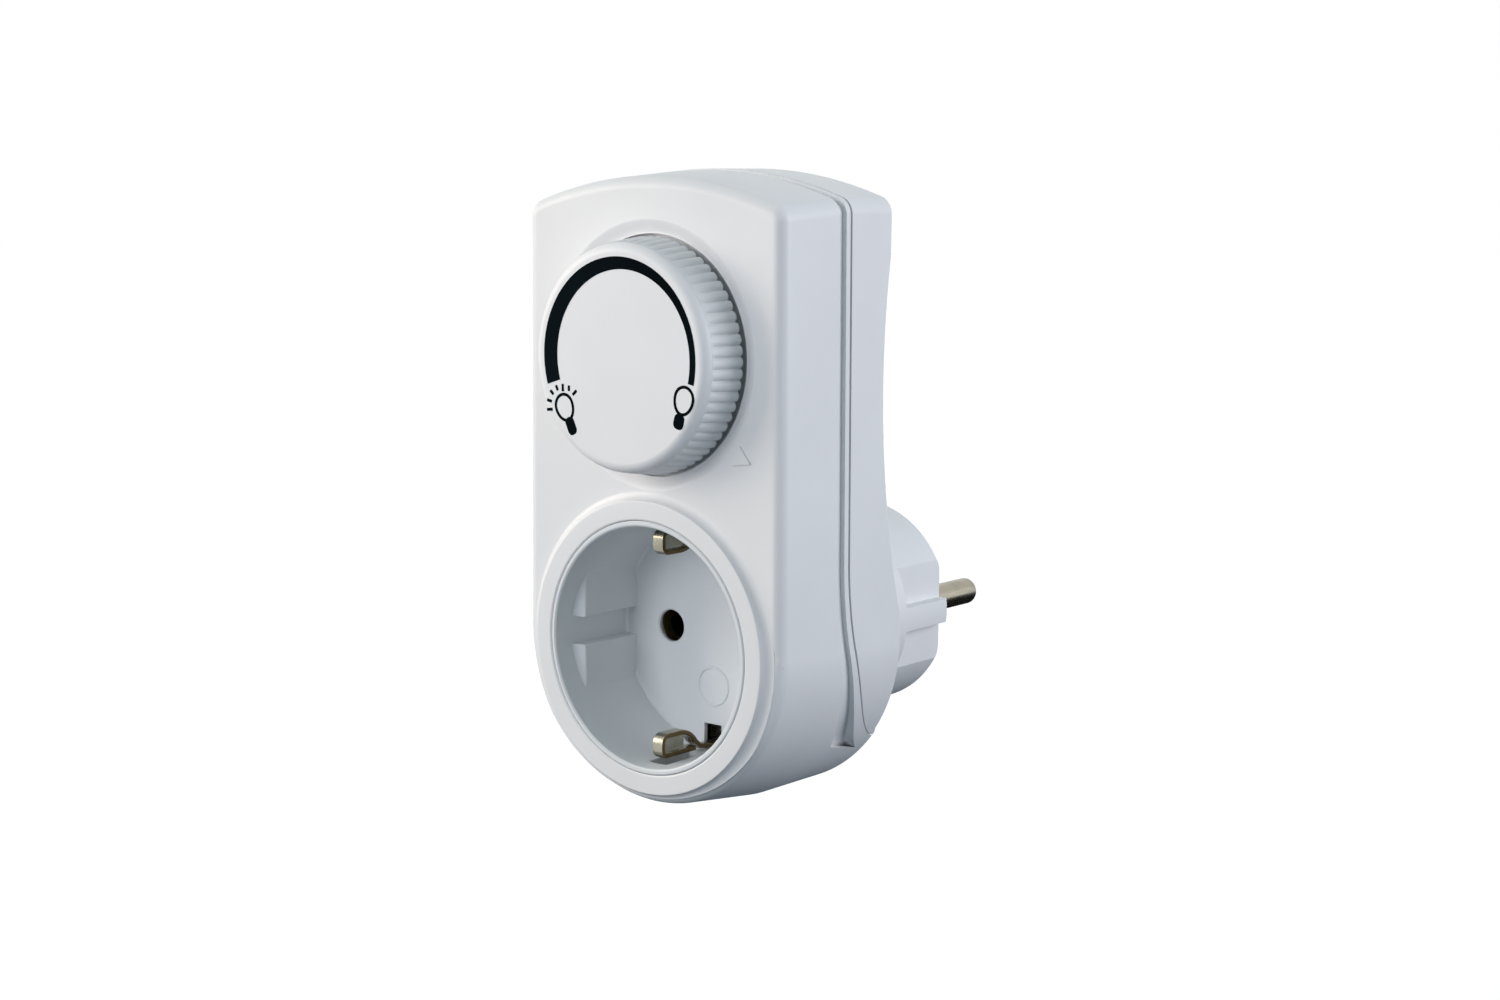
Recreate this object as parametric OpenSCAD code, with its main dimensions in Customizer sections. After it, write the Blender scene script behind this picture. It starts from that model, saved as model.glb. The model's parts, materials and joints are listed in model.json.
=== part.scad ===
// Plug-in dimmer: a rotary dimmer with an earthed outlet in front and an earthed plug behind.
// Millimetres. The origin is the centre of the plug face: +Y points into the wall, +X is to the right
// seen from the front, +Z is up. Depths are counted backwards from the rim of the outlet.

/* [Case] */
// Width of the case
case_w = 56; // [55.5:0.5:60]
// Height of the crown above the outlet axis
case_top = 77.8; // [76.4:0.2:84]
// Radius of the arched top
arch_r = 78; // [65:1:120]
// Radius of the two top corners
corner_r = 3; // [2.4:0.1:5]
// Lean of each side towards the top
side_lean = 0.5; // [0:0.1:0.8]
// Wall of the two covers
wall = 2.2; // [2:0.1:2.4]
// Thickness of the front wall
face_wall = 2.6; // [2.3:0.1:3]
// Rounding of the front edge
edge_r = 2; // [1:0.1:2.2]
// Draw-in of the sides from the seam to the front
face_draft = 0.4; // [0.1:0.1:0.5]
// Further draw-in of the crown at the front
crown_draft = 0.9; // [0:0.1:1.2]
// Further draw-in of the foot at the front
foot_draft = 1.6; // [0:0.1:1.8]
// Distance of the front face behind the outlet rim
face_set = 1.2; // [0.9:0.1:1.6]

/* [Seam] */
// Depth of the upper seam between the covers
seam_depth = 18; // [17.4:0.1:18.6]
// Width of the seam
seam_gap = 0.4; // [0.2:0.1:0.6]
// Height where the seam starts to sweep back
seam_bend_z = 15; // [12:0.5:18]
// Reach of the sweep towards the back
seam_sweep = 18; // [17:0.5:22]
// Drop of the sweep
seam_drop = 33.5; // [32:0.5:35]
// Depth of the step in front of the seam
step_depth = 15.4; // [14.5:0.1:15.8]
// Reach of the step line towards the back at the bottom
step_sweep = 8; // [6:0.5:9]
// Drop of the step line
step_drop = 32; // [30:0.5:33]
// How far the band behind the step is set in
band_set = 0.7; // [0.4:0.1:0.9]
// Thickness of the lap behind the seam
lap_t = 1.2; // [1:0.1:1.5]
// Length of the lap
lap_len = 2.2; // [1.5:0.1:2.6]

/* [Back] */
// Depth of the lower back around the plug
back_depth = 33; // [32.2:0.2:35]
// Depth of the upper back at its waist
waist_depth = 27.7; // [27.2:0.1:28.6]
// Height of the waist
waist_z = 42; // [40:0.5:45]
// Radius of the hollow upper back
waist_r = 135; // [120:5:180]
// How far the top of the back stands behind the waist
back_top_rise = 1.9; // [1.3:0.1:2.4]

/* [Outlet] */
// Radius of the well
well_r = 20; // [19.6:0.1:20.3]
// Depth of the well
well_depth = 17.6; // [17:0.1:18]
// Width of the rim of the insert
rim_w = 1; // [0.8:0.1:1.2]
// Wall of the insert
insert_wall = 1.6; // [1.4:0.1:1.8]
// Floor of the insert
floor_t = 3; // [2.6:0.1:3.2]
// Outer radius of the foot of the raised collar
collar_r = 26.2; // [25:0.1:26.4]
// Width of the hollow slope round the collar
slope_w = 1.8; // [1:0.1:2]
// Radius of the pin holes
pin_hole_r = 2.75; // [2.6:0.05:2.95]
// Distance of the guide flats from the middle
guide_x = 17.3; // [17:0.1:17.8]
// Half height of the guide blocks
guide_top = 10; // [9:0.5:10]
// Half height of the groove between the guide blocks
groove_half = 2.4; // [2.3:0.1:3]
// Depth where the guide blocks start
guide_front = 3.6; // [3:0.1:5]

/* [Plug] */
// Distance from the outlet rim to the plug face
plug_reach = 61.5; // [61:0.5:66]
// Radius of the plug
plug_r = 18.2; // [18:0.1:18.5]
// Distance of the side flats from the middle
flat_x = 15.9; // [15.7:0.1:16.2]
// Half height of the side flats
flat_half = 9; // [8.5:0.1:9.2]
// Half width of the tongue on each flat
tongue_half = 2.1; // [1.8:0.1:2.2]
// Length of the side flats
flat_len = 13; // [12:0.5:13.5]
// Floor of the plug
plug_floor = 3; // [2.5:0.1:3.5]
// Distance between the two pins
pin_pitch = 19; // [18.8:0.1:19.2]
// Radius of the pins
pin_r = 2.4; // [2.3:0.05:2.45]
// Length of the pins outside the plug
pin_len = 19; // [18:0.5:20]
// Half width of the groove round each pin at the plug face
pin_relief = 0.5; // [0.3:0.1:0.8]
// Depth of that groove
pin_relief_t = 0.2; // [0.1:0.05:0.4]

/* [Knob] */
// Height of the knob above the outlet axis
knob_z = 47.85; // [47:0.1:49.5]
// Radius over the ribs at the base
knob_r = 19.2; // [18.6:0.1:19.6]
// Height of the knob above the front face
knob_h = 7.6; // [7:0.1:9]
// Rounding of the front edge of the knob
knob_edge = 1.7; // [1:0.1:2]
// Number of ribs
ribs = 64; // [48:4:72]
// Depth of the grooves between the ribs at the base
rib_depth = 0.7; // [0.4:0.05:0.8]
// Wall of the knob
knob_wall = 1.6; // [1.3:0.1:1.8]
// Depth of the dish around the knob
dish = 0.8; // [0.5:0.1:1]
// Width of the dish around the knob
dish_w = 2.1; // [1.6:0.1:2.4]

/* [Potentiometer] */
// Radius of the shaft
shaft_r = 3; // [2.8:0.1:3.1]
// Radial running clearance of the shaft
shaft_gap = 0.05; // [0.03:0.01:0.1]
// Outer radius of the threaded bushing
bushing_r = 3.7; // [3.6:0.1:4.2]
// Radius of the can
can_r = 8.2; // [7.8:0.1:9]
// Wall of the can
can_wall = 1.2; // [1:0.1:1.4]

/* [Board] */
// Depth of the front of the circuit board
board_depth = 13; // [12.4:0.1:13.4]
// Thickness of the circuit board
board_t = 1.6; // [1.2:0.1:1.8]
// Width of the left column of components
left_col_w = 14.5; // [14:0.1:15]
// Thickness of the heat sink
sink_t = 1.5; // [1:0.1:2]
// Height of the heat sink
sink_h = 16; // [15.5:0.5:18]
// Width of the triac
triac_w = 10; // [8:0.5:10.5]
// Height of the body of the triac
triac_h = 9; // [8:0.5:9.5]
// Height of the tab of the triac
tab_h = 6; // [6:0.2:6.4]
// Thickness of the body of the triac
triac_t = 4.4; // [4:0.1:5]
// Thickness of the tab of the triac
tab_t = 1.3; // [1:0.1:1.5]
// Thickness of the winding of the choke
winding_t = 2.4; // [1.5:0.1:3]
// Radius of the fuse
fuse_r = 2.6; // [2.4:0.1:2.8]

/* [Contacts] */
// Thickness of the contact strips
strip_t = 0.8; // [0.6:0.1:1]
// Width of the earth clips
clip_w = 6; // [5:0.2:6.4]
// Distance of the clip crests from the outlet axis
clip_z = 15.5; // [15:0.1:16]

/* [Screws] */
// Radius of the case screws
screw_r = 1.4; // [1.2:0.05:1.5]
// Radius of the bosses for the case screws
boss_r = 3.9; // [3.7:0.1:4.2]

/* [Hidden] */
$fn = 64;

white_plastic = "whitesmoke";
nickel = "silver";
brass = "goldenrod";

// Overshoot of a cut beyond the face that it opens
over = 1;
// Clearance between pieces that slide together when the device is assembled
fit = 0.1;
// Clearance between insulated pieces that only pass each other
pass = 0.4;

half_w = case_w / 2;
face_in = face_set + face_wall;
dish_floor = face_set + dish;
pin_x = pin_pitch / 2;
rim_r = well_r + rim_w;
cup_r = well_r + insert_wall;
flange_r = half_w - wall - face_draft - foot_draft - 0.3;
flange_t = 2;
floor_back = well_depth + floor_t;
plug_floor_depth = plug_reach - plug_floor;
plug_bore_r = plug_r - wall;
lap_set = wall + fit;
// From here back the inside of the case runs straight, so that the lap slides in
straight_depth = seam_depth - lap_len - pass;

// Case screws: two beside the top of the board and two beside its foot
screw_x = half_w - wall - boss_r - 0.1;
board_foot = flange_r + 3.5;
board_top = case_top - 6;
screw_zs = [board_foot - 1, case_top - 10.8];
screw_head_r = 2.75;
screw_head_t = 2;
screw_len = 14;
screw_seat = waist_depth - 3.2;
boss_meet = seam_depth + seam_gap / 2;

// Board, its posts and its screws
board_half = screw_x - boss_r - pass;
board_back = board_depth + board_t;
post_x = board_half - 3;
post_zs = [board_foot + 3, board_top - 3];
post_r = 2.6;
post_screw_r = 1.1;

// Components behind the board, in a left and a right column, up to the back of the case
room = waist_depth - wall - board_back - 0.9;
left_mid = -board_half + 8.5;
sink_half = left_col_w - 8.5;
right_x0 = -board_half + left_col_w + pass;
right_x1 = board_half - 0.1;
triac_screw_z = board_top - 9;
triac_z = triac_screw_z - triac_h - tab_h / 2;
triac_back = board_back + sink_t;
choke_r = room / 2;
choke_bore_r = choke_r - winding_t;
choke_z = board_top - 12;
fuse_depth = board_back + fuse_r + 1.6;
fuse_z = choke_z - choke_r - fuse_r - 2.7;
cap_top = fuse_z - fuse_r - 2.6;
strip_top = board_foot + 7;
cap_foot = strip_top + pass;

// Potentiometer
bushing_front = -1.6;
pot_flange_t = 1;
can_front = face_in + pot_flange_t;
can_back_in = board_depth - can_wall;
wiper_depth = can_front + can_wall + 1.2;
wiper_t = 1.2;
track_t = 1.2;
nut_t = 2;
washer_t = 0.5;
knob_face = face_set - knob_h;
knob_in = knob_face + knob_wall;
knob_base = dish_floor - 0.5;

// Outlet contacts, earth strap and plug pins
contact_half = 4.2;
contact_block = 3.2;
contact_back = floor_back + contact_block;
finger_r = 3.6;
finger_len = 9;
contact_r = pin_r + 0.1;
retainer_t = 1.6;
retainer_z = contact_half + post_r + 1.6;
bridge_front = floor_back;
bridge_t = 1;
neck_w = 3.6;
neck_z = well_r - 1.4;
clip_back = bridge_front;
earth_w = 6;
earth_z = plug_r - 1.7;
earth_t = 1;
pin_head_r = 3.4;
pin_head_t = 2;
carrier_front = plug_floor_depth - 9.5;
foot_depth = carrier_front - pin_head_t;

// Feed strips between the outlet, the plug and the board
feed_back = floor_back + 2.2;
feed_in_x = pin_x - 2;
feed_in_w = 4;
feed_out_x = pin_x + 1.4;
feed_out_w = 2;
rise_z = 11.5;
retainer_half = rise_z + 0.5;

function dep(d) = d - plug_reach;
function arc(cx, cy, r, a0, a1, n) =
    [for (i = [0:n]) let (a = a0 + (a1 - a0) * i / n) [cx + r * cos(a), cy + r * sin(a)]];

// Outline of the case seen from the front, drawn in by inset all round, by drop more at the crown
// and by lift more at the foot
function outline(inset, drop = 0, lift = 0) =
    let (
        hw = half_w - inset,
        r = arch_r - inset,
        rc = max(corner_r - inset, 0.5),
        top_z = case_top - inset - drop,
        fx = hw - side_lean - rc,
        fz = top_z - r + sqrt(pow(r - rc, 2) - fx * fx),
        a = atan2(fz - top_z + r, fx)
    )
    concat(
        [for (p = arc(0, 0, hw, 180, 360, 32)) [p[0], p[1] * (hw - lift) / hw]],
        arc(fx, fz, rc, 0, a, 5),
        arc(0, top_z - r, r, a, 180 - a, 14),
        arc(-fx, fz, rc, 180 - a, 180, 5)
    );

// A line that drops straight and then sweeps back along a quarter ellipse, moved back by off
function sweep_line(depth, reach, drop, off) =
    concat(
        [[dep(depth) + off, case_top + over]],
        [for (t = [0:5:90])
            let (n = [drop * cos(t), reach * sin(t)])
            [dep(depth) + reach * (1 - cos(t)), seam_bend_z - drop * sin(t)] + off * n / norm(n)]
    );
function seam_line(off) = sweep_line(seam_depth, seam_sweep, seam_drop, off);
function step_line() = sweep_line(step_depth, step_sweep, step_drop, 0);

// Profile of the back, moved forward by inset
function back_line(inset) =
    let (
        up = sqrt(pow(waist_r, 2) - pow(waist_r - back_top_rise, 2)),
        down = sqrt(pow(waist_r, 2) - pow(waist_r - back_depth + waist_depth, 2)),
        far = dep(waist_depth + waist_r - inset)
    )
    concat(
        [[dep(waist_depth + back_top_rise - inset), case_top + over]],
        arc(far, waist_z, waist_r, 180 - asin(up / waist_r), 180 + asin(down / waist_r), 20),
        [[dep(back_depth - inset), -half_w - over]]
    );

// Slab of a front-view shape between two depths
module slab(d0, d1) {
    translate([0, dep(d1), 0]) rotate([90, 0, 0]) linear_extrude(d1 - d0) children();
}

// Side-view shape carried right across the width
module across(w) {
    translate([-w / 2, 0, 0]) rotate([90, 0, 90]) linear_extrude(w) children();
}

// Round bar along the depth
module rod(r, d0, d1, x = 0, z = 0) {
    translate([x, dep(d1), z]) rotate([90, 0, 0]) cylinder(r = r, h = d1 - d0);
}

// Box given by its limits in width, depth and height
module block(x0, x1, d0, d1, z0, z1) {
    translate([x0, dep(d0), z0]) cube([x1 - x0, d1 - d0, z1 - z0]);
}

// Turned shape about the depth axis from points of radius and depth
module turned(points, z = 0, fn = 96) {
    translate([0, 0, z]) rotate([90, 0, 0]) rotate_extrude($fn = fn)
        polygon([for (p = points) [p[0], -dep(p[1])]]);
}

module behind_seam(off) {
    far = dep(back_depth + seam_sweep);
    across(case_w + 4 * over)
        polygon(concat(seam_line(off), [[far, seam_bend_z - seam_drop], [far, case_top + over]]));
}

module before_back(inset) {
    near = dep(-2 * over);
    across(case_w + 4 * over)
        polygon(concat(back_line(inset), [[near, -half_w - over], [near, case_top + over]]));
}

// Places for the four case screws
module at_screws() {
    for (x = [-screw_x, screw_x], z = screw_zs) translate([x, 0, z]) children();
}

// Places for the four screws of the circuit board
module at_posts() {
    for (x = [-post_x, post_x], z = post_zs) translate([x, 0, z]) children();
}

// Places for the two screws of the contact retainer
module at_retainer_posts() {
    for (s = [-1, 1]) translate([s * pin_x, 0, -s * retainer_z]) children();
}

// Front block with its rounded edge and drawn-in front
module front_block() {
    hull() {
        for (a = [0:15:90])
            slab(face_set + edge_r * (1 - cos(a)), face_set + edge_r * (1 - cos(a)) + 0.01)
                polygon(outline(face_draft + edge_r * (1 - sin(a)), crown_draft, foot_draft));
        slab(seam_depth, back_depth) polygon(outline(0));
    }
}

// Straight inside of the case
module cavity() {
    intersection() {
        slab(straight_depth, back_depth) polygon(outline(wall));
        before_back(wall);
    }
}

// Inside of the front, which draws in with the outside
module front_cavity() {
    hull() {
        slab(face_in, face_in + 0.01) polygon(outline(wall + face_draft, crown_draft, foot_draft));
        slab(straight_depth, straight_depth + 0.01) polygon(outline(wall));
    }
}

// Band between the step and the seam, set in from the outside
module band_cut() {
    ledge_z = seam_bend_z - step_drop;
    seam_end = seam_bend_z - seam_drop;
    line = step_line();
    intersection() {
        across(case_w + 4 * over)
            polygon(concat(
                line,
                [[dep(back_depth + over), min(ledge_z, seam_end) - 2.4]],
                [[dep(back_depth + over), case_top + over]]
            ));
        difference() {
            slab(face_set, back_depth + over) polygon(outline(-2 * over));
            slab(0, back_depth + 2 * over) polygon(outline(band_set));
        }
    }
}

// Raised collar round the outlet, with a hollow slope outside, cut off by the drawn-in foot
module collar() {
    foot_trim = 0.9;
    slope = arc(collar_r, 0, slope_w, 180, 270, 6);
    intersection() {
        turned(concat(
            [[rim_r + fit, 0]],
            [for (p = slope) [p[0], -p[1] * face_set / slope_w]],
            [[collar_r, face_in], [rim_r + fit, face_in]]
        ));
        slab(-over, face_in + over)
            polygon(outline(face_draft + foot_trim, crown_draft, foot_draft));
    }
}

module index_mark() {
    r = knob_r + dish_w + 3.2;
    a = -38;
    translate([r * cos(a), 0, knob_z + r * sin(a)])
        slab(face_set - 0.25, face_set + over) polygon([[1.6, -0.4], [-1.1, 1.5], [-0.9, -1.7]]);
}

module front_cover() {
    color(white_plastic) difference() {
        union() {
            difference() {
                intersection() {
                    front_block();
                    before_back(0);
                }
                behind_seam(0);
                cavity();
                front_cavity();
                band_cut();
            }
            collar();
            index_mark();
            at_screws() rod(boss_r, face_in - over, boss_meet);
            at_posts() rod(post_r, face_in - over, board_depth);
        }
        rod(rim_r + fit, -over, face_in + over);
        rod(plug_r + fit, waist_depth - over, back_depth + over);
        turned([
            [0, face_set - over], [knob_r + dish_w + 0.5, face_set - over], [knob_r + dish_w, face_set],
            [knob_r + 0.5, dish_floor], [0, dish_floor]
        ], knob_z);
        rod(bushing_r + fit, 0, face_in + over, 0, knob_z);
        at_screws() rod(screw_r + 0.05, screw_seat - screw_len - 1, boss_meet + over);
        at_posts() rod(post_screw_r + 0.05, board_depth - 7, board_depth + over);
    }
}

// Inner lap of the rear cover, which closes the seam from inside
module lap() {
    module ring(inset0, inset1) {
        difference() {
            slab(face_in, back_depth) polygon(outline(inset0));
            slab(face_in - over, back_depth + over) polygon(outline(inset1));
        }
    }
    difference() {
        intersection() {
            union() {
                ring(lap_set, lap_set + lap_t);
                intersection() {
                    ring(wall - 0.5, lap_set + lap_t);
                    behind_seam(seam_gap);
                }
            }
            behind_seam(-lap_len);
            before_back(lap_set);
        }
        behind_seam(seam_gap + 2);
        at_screws() rod(boss_r + fit, 0, boss_meet);
    }
}

// Plug with its two flats, tongues and earth grooves
module plug_body() {
    difference() {
        turned([
            [0, waist_depth], [plug_r, waist_depth], [plug_r, plug_reach - 1.2],
            [plug_r - 1.2, plug_reach], [0, plug_reach]
        ]);
        for (s = [-1, 1], t = [-1, 1])
            block(
                min(s * flat_x, s * (plug_r + over)), max(s * flat_x, s * (plug_r + over)),
                plug_reach - flat_len, plug_reach + over,
                min(t * tongue_half, t * flat_half), max(t * tongue_half, t * flat_half)
            );
    }
}

module plug_cavity() {
    difference() {
        union() {
            rod(plug_bore_r, waist_depth, foot_depth);
            intersection() {
                rod(plug_bore_r, waist_depth, plug_floor_depth);
                block(
                    -flat_x + wall, flat_x - wall, waist_depth, plug_reach, -plug_r, plug_r
                );
            }
        }
        for (s = [-1, 1])
            block(
                -earth_w / 2 - wall, earth_w / 2 + wall, waist_depth, plug_reach,
                min(s * (earth_z - wall), s * plug_r), max(s * (earth_z - wall), s * plug_r)
            );
    }
}

module rear_cover() {
    color(white_plastic) difference() {
        union() {
            difference() {
                intersection() {
                    slab(seam_depth - over, back_depth) polygon(outline(0));
                    behind_seam(seam_gap);
                    before_back(0);
                }
                cavity();
            }
            lap();
            plug_body();
            intersection() {
                at_screws() rod(boss_r, boss_meet, back_depth);
                before_back(0.5);
            }
        }
        plug_cavity();
        at_screws() rod(screw_r + 0.2, 0, back_depth);
        at_screws() rod(screw_head_r + 0.25, screw_seat, back_depth + over);
        for (x = [-pin_x, pin_x]) rod(pin_r + 0.05, foot_depth, plug_reach + over, x);
        for (s = [-1, 1]) {
            block(
                -earth_w / 2 - fit, earth_w / 2 + fit, waist_depth, plug_reach + over,
                min(s * (earth_z - fit), s * (earth_z + earth_t + fit)),
                max(s * (earth_z - fit), s * (earth_z + earth_t + fit))
            );
            block(
                -earth_w / 2 - fit, earth_w / 2 + fit, back_depth + 0.01, plug_reach + over,
                min(s * (earth_z + fit), s * (plug_r + over)),
                max(s * (earth_z + fit), s * (plug_r + over))
            );
        }
    }
}

// Slot in the well floor for one earth clip
module clip_slot() {
    block(
        -neck_w / 2 - 0.3, neck_w / 2 + 0.3, well_depth - over, floor_back + over,
        -neck_z - strip_t - fit, -clip_z - 0.2
    );
}

module guide_block() {
    intersection() {
        translate([0, 0, groove_half]) linear_extrude(guide_top - groove_half)
            polygon([
                [guide_x, dep(guide_front + 1)], [well_r + over, dep(guide_front)],
                [well_r + over, dep(well_depth + 0.2)], [guide_x, dep(well_depth + 0.2)]
            ]);
        rod(well_r + 0.5, 0, floor_back);
    }
}

module socket_insert() {
    color("gainsboro") difference() {
        union() {
            turned([
                [0, well_depth], [well_r - 0.3, well_depth], [well_r, 0.5], [well_r + 0.3, 0],
                [rim_r, 0], [rim_r, face_in], [flange_r, face_in], [flange_r, face_in + flange_t],
                [cup_r, face_in + flange_t], [cup_r, floor_back], [0, floor_back]
            ]);
            for (x = [0, 1], z = [0, 1]) mirror([x, 0, 0]) mirror([0, 0, z]) guide_block();
            at_retainer_posts() rod(post_r, floor_back - 0.5, contact_back);
        }
        for (x = [-pin_x, pin_x]) rod(pin_hole_r, well_depth - over, floor_back + over, x);
        clip_slot();
        mirror([0, 0, 1]) clip_slot();
        at_retainer_posts() rod(post_screw_r + 0.05, floor_back, contact_back + over);
    }
}

// Side view of an earth clip: a crest towards the plug, a curled front end and a straight neck
module earth_clip() {
    crest_r = 6;
    crest_depth = 8.6;
    mid = [dep(crest_depth), -clip_z - crest_r];
    module strip(w, points) {
        across(w) polygon(points);
    }
    strip(clip_w, concat(
        arc(mid[0], mid[1], crest_r, 45, 145, 12),
        arc(mid[0], mid[1], crest_r - strip_t, 145, 45, 12)
    ));
    knee = mid + crest_r * [cos(45), sin(45)];
    knee_in = mid + (crest_r - strip_t) * [cos(45), sin(45)];
    bend = well_depth - 2;
    strip(neck_w, [
        knee, [dep(bend), -neck_z], [dep(clip_back), -neck_z],
        [dep(clip_back), -neck_z - strip_t], [dep(bend) - 0.3, -neck_z - strip_t], knee_in
    ]);
}

module earth_clip_bottom() {
    color(nickel) earth_clip();
}

module earth_clip_top() {
    color(nickel) mirror([0, 0, 1]) earth_clip();
}

module earth_bridge() {
    end_z = neck_z + strip_t;
    color(nickel) block(-earth_w / 2, earth_w / 2, bridge_front, bridge_front + bridge_t, -end_z, end_z);
}

module plug_earth() {
    block(
        -earth_w / 2, earth_w / 2, bridge_front + bridge_t, plug_reach - 0.8, earth_z, earth_z + earth_t
    );
}

module plug_earth_top() {
    color(nickel) plug_earth();
}

module plug_earth_bottom() {
    color(nickel) mirror([0, 0, 1]) plug_earth();
}

module plug_pin(x) {
    tip = 1.4;
    end = plug_reach + pin_len;
    translate([x, 0, 0]) turned(concat(
        [[0, foot_depth], [pin_head_r, foot_depth], [pin_head_r, carrier_front], [pin_r, carrier_front]],
        [[pin_r, plug_reach - pin_relief], [pin_r - pin_relief_t, plug_reach - pin_relief]],
        [[pin_r - pin_relief_t, plug_reach + pin_relief], [pin_r, plug_reach + pin_relief]],
        [for (a = [0:15:90]) [pin_r - tip + tip * cos(a), end - tip + tip * sin(a)]],
        [[0, end]]
    ), 0, 64);
}

module plug_pin_left() {
    color(nickel) plug_pin(-pin_x);
}

module plug_pin_right() {
    color(nickel) plug_pin(pin_x);
}

// Insulating block that holds the two pins in the plug
module pin_carrier() {
    side = flat_x - wall - fit;
    top = earth_z - wall - fit;
    color("ivory") difference() {
        intersection() {
            rod(plug_bore_r - fit, carrier_front, plug_floor_depth);
            block(-side, side, carrier_front, plug_floor_depth, -top, top);
        }
        for (x = [-pin_x, pin_x]) rod(pin_r + 0.05, carrier_front - over, plug_floor_depth + over, x);
    }
}

// Sprung sleeve that grips one pin of the plug in the outlet
module socket_contact(x) {
    translate([x, 0, 0]) difference() {
        union() {
            block(-contact_half, contact_half, floor_back, contact_back, -contact_half, contact_half);
            rod(finger_r, contact_back, contact_back + finger_len);
        }
        rod(contact_r, floor_back - over, contact_back + finger_len + over);
        for (a = [0, 90])
            rotate([0, a, 0])
                block(
                    -finger_r - over, finger_r + over, contact_back + 1.5, contact_back + finger_len + over,
                    -0.4, 0.4
                );
    }
}

module socket_contact_left() {
    color(brass) socket_contact(-pin_x);
}

module socket_contact_right() {
    color(brass) socket_contact(pin_x);
}

// Plate that traps the two sleeves behind the insert
module contact_retainer() {
    half = pin_x + finger_r + 1;
    color("ivory") difference() {
        block(-half, half, contact_back, contact_back + retainer_t, -retainer_half, retainer_half);
        for (x = [-pin_x, pin_x])
            rod(finger_r + 0.2, contact_back - over, contact_back + retainer_t + over, x);
        block(
            -pin_x - contact_half - strip_t - pass, -pin_x - finger_r + pass, contact_back - over,
            contact_back + retainer_t + over, -2.5 - pass, 2.5 + pass
        );
        block(
            feed_in_x - feed_in_w / 2 - 0.2, feed_in_x + feed_in_w / 2 + 0.2, contact_back - over,
            contact_back + retainer_t + over, rise_z - strip_t - 0.7, retainer_half + over
        );
        at_retainer_posts()
            rod(post_screw_r + 0.2, contact_back - over, contact_back + retainer_t + over);
    }
}

// Small screw whose head rests at depth d and whose shank points to the front
module small_screw(d, len) {
    rod(post_r - 0.2, d, d + 1.5);
    rod(post_screw_r, d - len, d + 0.1);
}

module retainer_screws() {
    color(nickel) at_retainer_posts()
        small_screw(contact_back + retainer_t, contact_block + retainer_t - 0.4);
}

module neutral_busbar() {
    x = -pin_x - contact_half;
    color(brass) {
        block(x - strip_t, x, floor_back + 1, foot_depth, -2.5, 2.5);
        block(x - strip_t, -pin_x + pin_head_r - 1, foot_depth - 1, foot_depth, -2.5, 2.5);
    }
}

// Strip from the right plug pin up to the board
module live_in_strip() {
    low_z = rise_z - strip_t;
    top_z = strip_top - strip_t;
    color(brass) translate([feed_in_x, 0, 0]) across(feed_in_w) polygon([
        [dep(foot_depth), -3], [dep(foot_depth), rise_z], [dep(feed_back), rise_z],
        [dep(feed_back), strip_top], [dep(board_back), strip_top], [dep(board_back), top_z],
        [dep(feed_back) - strip_t, top_z], [dep(feed_back) - strip_t, low_z],
        [dep(foot_depth) - strip_t, low_z], [dep(foot_depth) - strip_t, -3]
    ]);
}

// Strip from the board down to the right sleeve
module live_out_strip() {
    top_z = strip_top - strip_t;
    color(brass) translate([feed_out_x, 0, 0]) across(feed_out_w) polygon([
        [dep(feed_back), contact_half], [dep(feed_back), strip_top], [dep(board_back), strip_top],
        [dep(board_back), top_z], [dep(feed_back) - strip_t, top_z], [dep(feed_back) - strip_t, contact_half]
    ]);
}

module circuit_board() {
    color("darkgreen") difference() {
        block(-board_half, board_half, board_depth, board_back, board_foot, board_top);
        at_posts() rod(post_screw_r + 0.2, board_depth - over, board_back + over);
        rod(1.6, board_depth - over, board_back + over, left_mid, triac_screw_z);
    }
}

module board_screws() {
    color(nickel) at_posts() small_screw(board_back, 5);
}

module heat_sink() {
    top = triac_screw_z + tab_h / 2;
    color("lightgray") difference() {
        block(left_mid - sink_half, left_mid + sink_half, board_back, triac_back, top - sink_h, top);
        rod(1.6, board_back - over, triac_back + over, left_mid, triac_screw_z);
    }
}

// Triac: body, screw tab and three bent legs
module triac() {
    leg_w = 0.8;
    leg_pitch = 2.5;
    leg_t = 0.6;
    leg_len = 3;
    leg_d = triac_back + 1.5;
    x0 = left_mid - triac_w / 2;
    x1 = left_mid + triac_w / 2;
    color("dimgray") difference() {
        union() {
            block(x0, x1, triac_back, triac_back + triac_t, triac_z, triac_z + triac_h);
            block(x0, x1, triac_back, triac_back + tab_t, triac_z + triac_h, triac_screw_z + tab_h / 2);
            for (x = [left_mid - leg_pitch, left_mid, left_mid + leg_pitch]) {
                block(x - leg_w / 2, x + leg_w / 2, leg_d, leg_d + leg_t, triac_z - leg_len, triac_z);
                block(
                    x - leg_w / 2, x + leg_w / 2, board_back, leg_d + leg_t, triac_z - leg_len,
                    triac_z - leg_len + leg_w
                );
            }
        }
        rod(1.6, triac_back - over, triac_back + tab_t + over, left_mid, triac_screw_z);
    }
}

nut_len = 2.4;
module triac_screw() {
    head = triac_back + tab_t;
    color(nickel) {
        rod(2.75, head, head + 2, left_mid, triac_screw_z);
        rod(1.45, board_depth - nut_len - 0.4, head + 0.1, left_mid, triac_screw_z);
    }
}

module triac_nut() {
    across_corners = 6.35;
    color(nickel) difference() {
        translate([left_mid, dep(board_depth), triac_screw_z]) rotate([90, 0, 0])
            cylinder(d = across_corners, h = nut_len, $fn = 6);
        rod(1.5, board_depth - nut_len - over, board_depth + over, left_mid, triac_screw_z);
    }
}

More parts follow.
